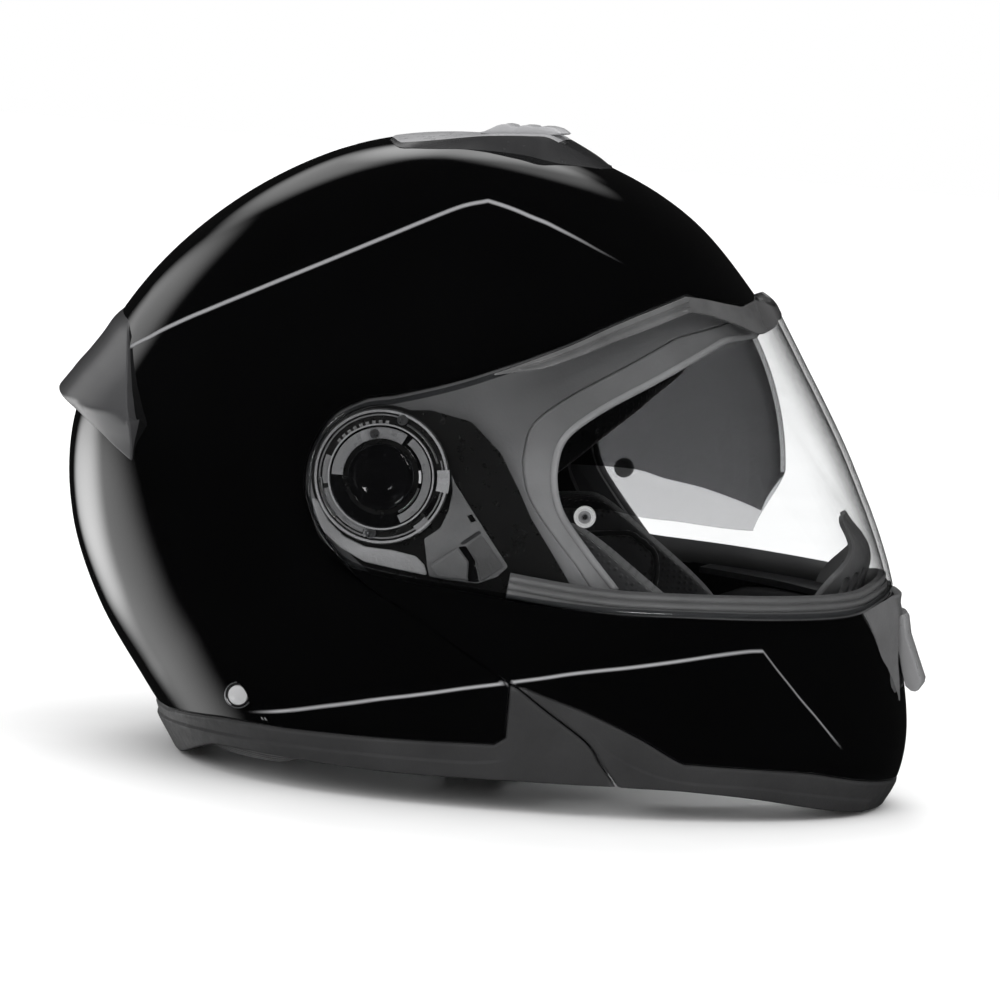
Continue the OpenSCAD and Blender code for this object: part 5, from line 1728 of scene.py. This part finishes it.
for side, sign in SIDES:
    # base plate: dark pan, outline, clips and screws
    parts = [turned(sign, PAN_PROFILE, BLACK_BAND)]
    parts += [arc(sign, *row, bevel=0.35) for row in BASE_ARCS]
    parts += [turned(sign, HINGE_SCREW, STEEL, centre=on_hinge(radius, degrees), count=28)
              for radius, degrees in ((22.6, 74), (21.4, 264))]
    keep(merge(f"hinge_base_{side}", parts), CHIN_BAR, "frame_matte", f"base_plate_{side}")

    # shield ring: arcs, a row of teeth and one screw
    parts = [arc(sign, *row) for row in RING_ARCS]
    for i in range(TOOTH_COUNT):
        angle = TOOTH_START + i * TOOTH_PITCH
        parts.append(arc(sign, 19.6, 21.0, angle - TOOTH_HALF, angle + TOOTH_HALF, 125.7, 126.6,
                         GREY_PLASTIC, bevel=0.3))
    parts.append(turned(sign, RING_SCREW, STEEL, centre=on_hinge(16.2, 103), count=28))
    keep(merge(f"shield_hub_{side}", parts), FACE_SHIELD, "light_grey", f"shield_ring_{side}")

    keep(merge(f"hinge_dome_{side}", [turned(sign, CAP_PROFILE, BLACK_GLOSS)]),
         CHIN_BAR, "frame_matte", f"pivot_cap_{side}")

    parts = [panel("part", cover_surface, round_loop(outline, corner, 0.6), material,
                   thick=thick, off=off, fillet=fillet, step=2.5, edge=0.6, holes=holes,
                   sides=side)
             for outline, off, thick, material, fillet, corner, holes in COVER_PIECES]
    keep(merge(f"corner_cover_{side}", parts), CHIN_BAR, "grey_plastic", f"side_cover_{side}")


# ---------------------------------------------------------------- vent sliders
def slab(name, profile, half_width, material, cut, bevel=0.6):
    """Side-view shape carried across the middle; the ends are bevelled and swept back by cut."""
    shape = np.array(profile, float)
    along = np.roll(shape, -1, 0) - np.roll(shape, 1, 0)
    normal = np.stack([along[:, 1], -along[:, 0]], 1)
    normal /= np.maximum(np.linalg.norm(normal, axis=1), 1e-9)[:, None]
    area = 0.5 * np.sum(shape[:, 0] * np.roll(shape[:, 1], -1)
                        - np.roll(shape[:, 0], -1) * shape[:, 1])
    if area < 0:
        normal = -normal
    hw = half_width
    rows = [(-hw, bevel), (-hw + bevel * 0.3, bevel * 0.3), (-hw + bevel, 0), (-hw * 0.5, 0),
            (0, 0), (hw * 0.5, 0), (hw - bevel, 0), (hw - bevel * 0.3, bevel * 0.3), (hw, bevel)]
    points, faces = [], []
    for y, inset in rows:
        for x, z in shape - normal * inset:
            points.append((x - cut * (abs(y) / hw) ** 2, y, z))
    size = len(shape)
    for i in range(len(rows) - 1):
        for j in range(size):
            k = (j + 1) % size
            faces.append((i * size + j, i * size + k, (i + 1) * size + k, (i + 1) * size + j))
    faces.append(tuple(range(size))[::-1])
    faces.append(tuple((len(rows) - 1) * size + j for j in range(size)))
    obj = to_mesh(name, points, faces, [material])
    tidy(obj)
    soft_edges(obj, 38)
    return obj


ROOF_SLIDER = [
    (-13.2, 249.0), (-9.6, 251.2), (-7.2, 252.6), (-5.4, 253.3), (-3.6, 253.6), (-2.4, 253.4),
    (-1.7, 252.8), (0.7, 252.7), (2.0, 253.3), (3.4, 253.7), (6.0, 253.8), (6.8, 253.2),
    (8.6, 253.3), (10.6, 253.8), (13.4, 253.9), (15.6, 253.4), (17.4, 252.5), (18.3, 251.8),
    (17.6, 251.3), (15.4, 250.9), (11.0, 250.2), (0, 249.2)]
CHIN_LEVER = [
    (164.6, 75.6), (166.4, 76.6), (167.4, 75.4), (168.9, 68.4), (172.4, 60.0), (176.0, 51.6),
    (175.8, 49.6), (174.2, 47.0), (172.4, 47.2), (170.2, 48.8), (168.2, 55.0), (165.8, 64.0)]
keep(slab("roof_vent_slider", ROOF_SLIDER, 15, ROOF_SATIN, cut=3.0),
     "top_vent", "light_grey", "top_vent_slider")
keep(slab("chin_vent_lever", CHIN_LEVER, 14, LEVER_SATIN, cut=2.0),
     "chin_vent", "light_grey", "chin_vent_slider")

# ---------------------------------------------------------------- shield pins and strap rivets
PIN_PLACE = (44, 113)
RIVET_PLACE = (-81.3, 32.7)
# profile, material, points round the circle
PIN_PIECES = [
    ([(0, 112.6), (3.3, 112.6), (4.1, 113.4), (4.1, 115.7), (3.75, 116.2), (3.2, 116.2),
      (2.95, 115.8), (2.35, 115.8)], PIN_PALE, 48),
    ([(2.4, 115.4), (2.4, 115.8), (2.1, 116.25), (1.45, 116.3), (1.2, 115.9), (0.9, 115.9)],
     MID_GREY, 40),
    ([(1.25, 115.5), (1.2, 115.95), (0.7, 116.3), (0.0, 116.35)], CHROME, 24),
]
RIVET_PIECES = [
    ([(0, 96), (5.2, 96), (5.2, 104.2), (4.9, 104.8), (4.4, 104.9), (4.0, 104.4), (0, 104.3)],
     BLACK_GLOSS, 48),
    ([(3.75, 104.1), (3.75, 105.3), (3.45, 105.8), (2.2, 106.25), (0, 106.4)], RIVET_BRIGHT, 40),
    ([(5.1, 104.5), (5.15, 105.0), (4.95, 105.25), (4.75, 105.0), (4.7, 104.5)], STEEL, 48),
]


def turned_stack(name, sign, pieces, centre):
    return merge(name, [turned(sign, profile, material, centre=centre, count=count)
                        for profile, material, count in pieces])


for side, sign in SIDES:
    keep(turned_stack(f"shield_stop_pin_{side}", sign, PIN_PIECES, PIN_PLACE),
         FACE_SHIELD, "chrome", f"shield_pin_{side}")
    keep(turned_stack(f"strap_rivet_head_{side}", sign, RIVET_PIECES, RIVET_PLACE),
         HELMET, "steel", f"strap_rivet_{side}")


# ---------------------------------------------------------------- shield brow
def make_brow():
    """Moulded strip along the shield's upper edge."""
    top = shield_top[(shield_top[:, 0] > 6) & (shield_top[:, 0] < 73)]
    tangent = unit(np.gradient(top, axis=0))
    down = np.stack([tangent[:, 1], -tangent[:, 0]], 1)
    ahead = top[:, 0] - 6
    width = (3.2 + 2.6 * np.clip(ahead / 50, 0, 1)) * (0.12 + 0.88 * np.clip(ahead / 16, 0, 1))
    # front view (y, z) of the strip's upper and lower edges across the front
    upper = polar_points(shield_surface, [(70, 195.4), (60, 193.8), (50, 192.6), (42, 194.0),
                                          (35, 195.0), (26, 193.7), (14, 192.0), (0, 191.4)])
    lower = polar_points(shield_surface, [(0, 188.9), (14, 187.4), (28, 184.8), (42, 182.9),
                                          (48, 182.8), (60, 186.6), (70, 189.4)])
    outline = np.vstack([shield_surface.to_polar(top - down * 0.2), upper, lower,
                         shield_surface.to_polar((top + down * width[:, None])[::-1])])
    creases = [Crease((top + down * (width * share)[:, None])[2:], shield_surface,
                      height=height, width=wide, decay=3.0, ends=(12, 0), side=-1)
               for share, height, wide in ((0.36, 0.7, 0.7), (0.7, -0.5, 1.0))]
    return panel("shield_brow", shield_surface, outline, BROW_SMOKE, thick=1.0, off=0.4,
                 fillet=0.4, step=2.4, edge=1.2, creases=creases, polar=True)


keep(make_brow(), FACE_SHIELD, "clear")

# ---------------------------------------------------------------- camera and render settings
scene = bpy.context.scene
CAMERA_TURN, CAMERA_RISE, CAMERA_ROLL = map(math.radians, (4.6, 5.4, 4.9))
CAMERA_DISTANCE = 2.0
CAMERA_TARGET = (0.0027, 0, 0.1055)


def make_camera():
    """Camera on the right (-Y) side, looking back at the helmet."""
    back = Vector((math.sin(CAMERA_TURN) * math.cos(CAMERA_RISE),
                   -math.cos(CAMERA_TURN) * math.cos(CAMERA_RISE), math.sin(CAMERA_RISE)))
    level = Vector((math.cos(CAMERA_TURN), math.sin(CAMERA_TURN), 0))
    upright = back.cross(level)
    right = level * math.cos(CAMERA_ROLL) + upright * math.sin(CAMERA_ROLL)
    up = -level * math.sin(CAMERA_ROLL) + upright * math.cos(CAMERA_ROLL)
    camera = add_object("camera", bpy.data.cameras.new("camera"))
    matrix = Matrix((right, up, back)).transposed().to_4x4()
    matrix.translation = Vector(CAMERA_TARGET) + back * CAMERA_DISTANCE
    camera.matrix_world = matrix
    camera.data.sensor_width = 36
    camera.data.lens = 182.3
    camera.data.clip_end = 50
    return camera


scene.camera = make_camera()
scene.view_settings.view_transform = "Standard"
scene.view_settings.look = "None"
scene.view_settings.exposure = 0
scene.view_settings.gamma = 1
scene.cycles.transparent_max_bounces = 24
scene.cycles.max_bounces = 8
scene.cycles.sample_clamp_indirect = 4


# ---------------------------------------------------------------- floor
def make_floor(half=9, drop=0.0008):
    """Pale floor, a hair below the helmet."""
    material, nodes, surface = principled("pale_floor")
    tone = nodes.noise(nodes.coords(), scale=9, detail=3)
    nodes.feed(surface, {"Base Color": nodes.ramp(tone, (0.86,) * 3, (0.9,) * 3),
                         "Roughness": 0.95, "Specular IOR Level": 0.0})
    mesh = bpy.data.meshes.new("floor")
    mesh.from_pydata([(-half, -half, 0), (half, -half, 0), (half, half, 0), (-half, half, 0)],
                     [], [(0, 1, 2, 3)])
    mesh.materials.append(material)
    obj = add_object("floor", mesh)
    obj.location.z = -drop
    obj.visible_glossy = False
    return obj


floor = make_floor()

# ---------------------------------------------------------------- world
# patches seen in reflections: degrees from the left (+Y) towards the front, degrees up,
# degrees from the middle where the patch starts to fade and where it ends, strength
LIGHT_PATCHES = [
    (-47.5, -11, 2, 19.5, 1.35),
    (-66, -20, 6, 29, 0.85),
    (-50, 17, 5, 20, 0.6),
    (-22, 31, 5, 15, 0.5),
    (-6, 34, 5, 14, 0.55),
    (3, 42, 5, 12, 0.36),
]
REFLECTED_BASE = 0.006           # strength between the patches
DIFFUSE_STRENGTH = 0.8


def light_patch(nodes, place, turn, rise, fade_start, fade_end, power):
    turn, rise = math.radians(turn), math.radians(rise)
    way = Vector((math.sin(turn) * math.cos(rise), math.cos(turn) * math.cos(rise),
                  math.sin(rise))).normalized()
    towards = nodes.add("VectorMath", {0: place, 1: way}, operation="DOT_PRODUCT")
    return nodes.map_range(towards.outputs["Value"], 0, power, smooth=True,
                           from_min=math.cos(math.radians(fade_end)),
                           from_max=math.cos(math.radians(fade_start)))


def make_world():
    """White to the camera, patches of light in reflections, even light on the rest."""
    world = bpy.data.worlds.new("studio")
    scene.world = world
    nodes = Nodes(world)
    output = nodes.add("OutputWorld")
    place = nodes.add("TexCoord").outputs["Generated"]
    total = None
    for row in LIGHT_PATCHES:
        patch = light_patch(nodes, place, *row)
        total = patch if total is None else nodes.math("ADD", total, patch)
    total = nodes.math("ADD", total, REFLECTED_BASE)
    path = nodes.add("LightPath")
    seen, reflected, diffuse = (
        nodes.add("Background", {0: (1, 1, 1, 1), 1: strength}).outputs[0]
        for strength in (1.0, total, DIFFUSE_STRENGTH))
    indirect = nodes.add("MixShader", {0: path.outputs["Is Glossy Ray"], 1: diffuse,
                                       2: reflected})
    mixed = nodes.add("MixShader", {0: path.outputs["Is Camera Ray"],
                                    1: indirect.outputs[0], 2: seen})
    nodes.feed(output, {0: mixed.outputs[0]})


make_world()


# ---------------------------------------------------------------- lights
def area(name, place, target, size, power, glossy):
    data = bpy.data.lights.new(name, "AREA")
    data.shape = "RECTANGLE"
    data.size, data.size_y = size
    data.energy = power
    light = add_object(name, data)
    light.location = place
    way = Vector(target) - Vector(place)
    light.rotation_euler = way.to_track_quat("-Z", "Y").to_euler()
    light.visible_glossy = glossy
    return light


def sun(name, strength, spread):
    data = bpy.data.lights.new(name, "SUN")
    data.energy = strength
    data.angle = math.radians(spread)
    return add_object(name, data)


def receivers(name, objects):
    collection = bpy.data.collections.new(name)
    for obj in objects:
        collection.objects.link(obj)
    return collection


area("front_softbox", (-0.75, -1.9, 0.9), (0, 0, 0.12), size=(1.3, 1.3), power=13, glossy=False)
face_light = area("face_softbox", (1.6, -1.0, 0.25), (0, 0, 0.12), size=(0.9, 0.9), power=3,
                  glossy=False)
face_light.light_linking.receiver_collection = receivers("lit_model", finished)

# small lights for the polished and moulded detail only
DETAIL_NAMES = ("hinge_", "shield_hub", "corner_cover", "shield_stop_pin", "strap_rivet_head",
                "eyeport_lip", "face_shield_rim", "shield_brow", "lower_gasket_bead",
                "chin_bar_shoulder")
detail = receivers("lit_detail", [obj for obj in finished if obj.name.startswith(DETAIL_NAMES)])
# name, place, size, power
for name, place, size, power in (
        ("detail_left", (-1.2, -1.3, 0.95), (0.35, 0.5), 6),
        ("detail_right", (1.0, -1.3, 0.0), (0.3, 0.5), 4),
        ("detail_low", (-0.7, -1.3, -0.5), (0.3, 0.3), 2),
        ("detail_far_left", (-1.2, 1.3, 0.95), (0.35, 0.5), 6)):
    target = (-0.03, -0.1 if place[1] < 0 else 0.1, 0.12)
    light = area(name, place, target, size, power, glossy=True)
    light.light_linking.receiver_collection = detail

# the floor has its own low sun from behind, so that the shadow falls towards the camera
floor_lit = receivers("lit_floor", [floor])
floor_sun = sun("floor_sun", strength=1.0, spread=34)
floor_sun.rotation_euler = Vector((0.35, -1.0, -1.3)).to_track_quat("-Z", "Y").to_euler()
floor_sun.light_linking.receiver_collection = floor_lit

soft_sun = sun("soft_sun", strength=1.25, spread=60)
soft_sun.rotation_euler = (math.radians(14), math.radians(6), 0)
soft_sun.visible_glossy = False
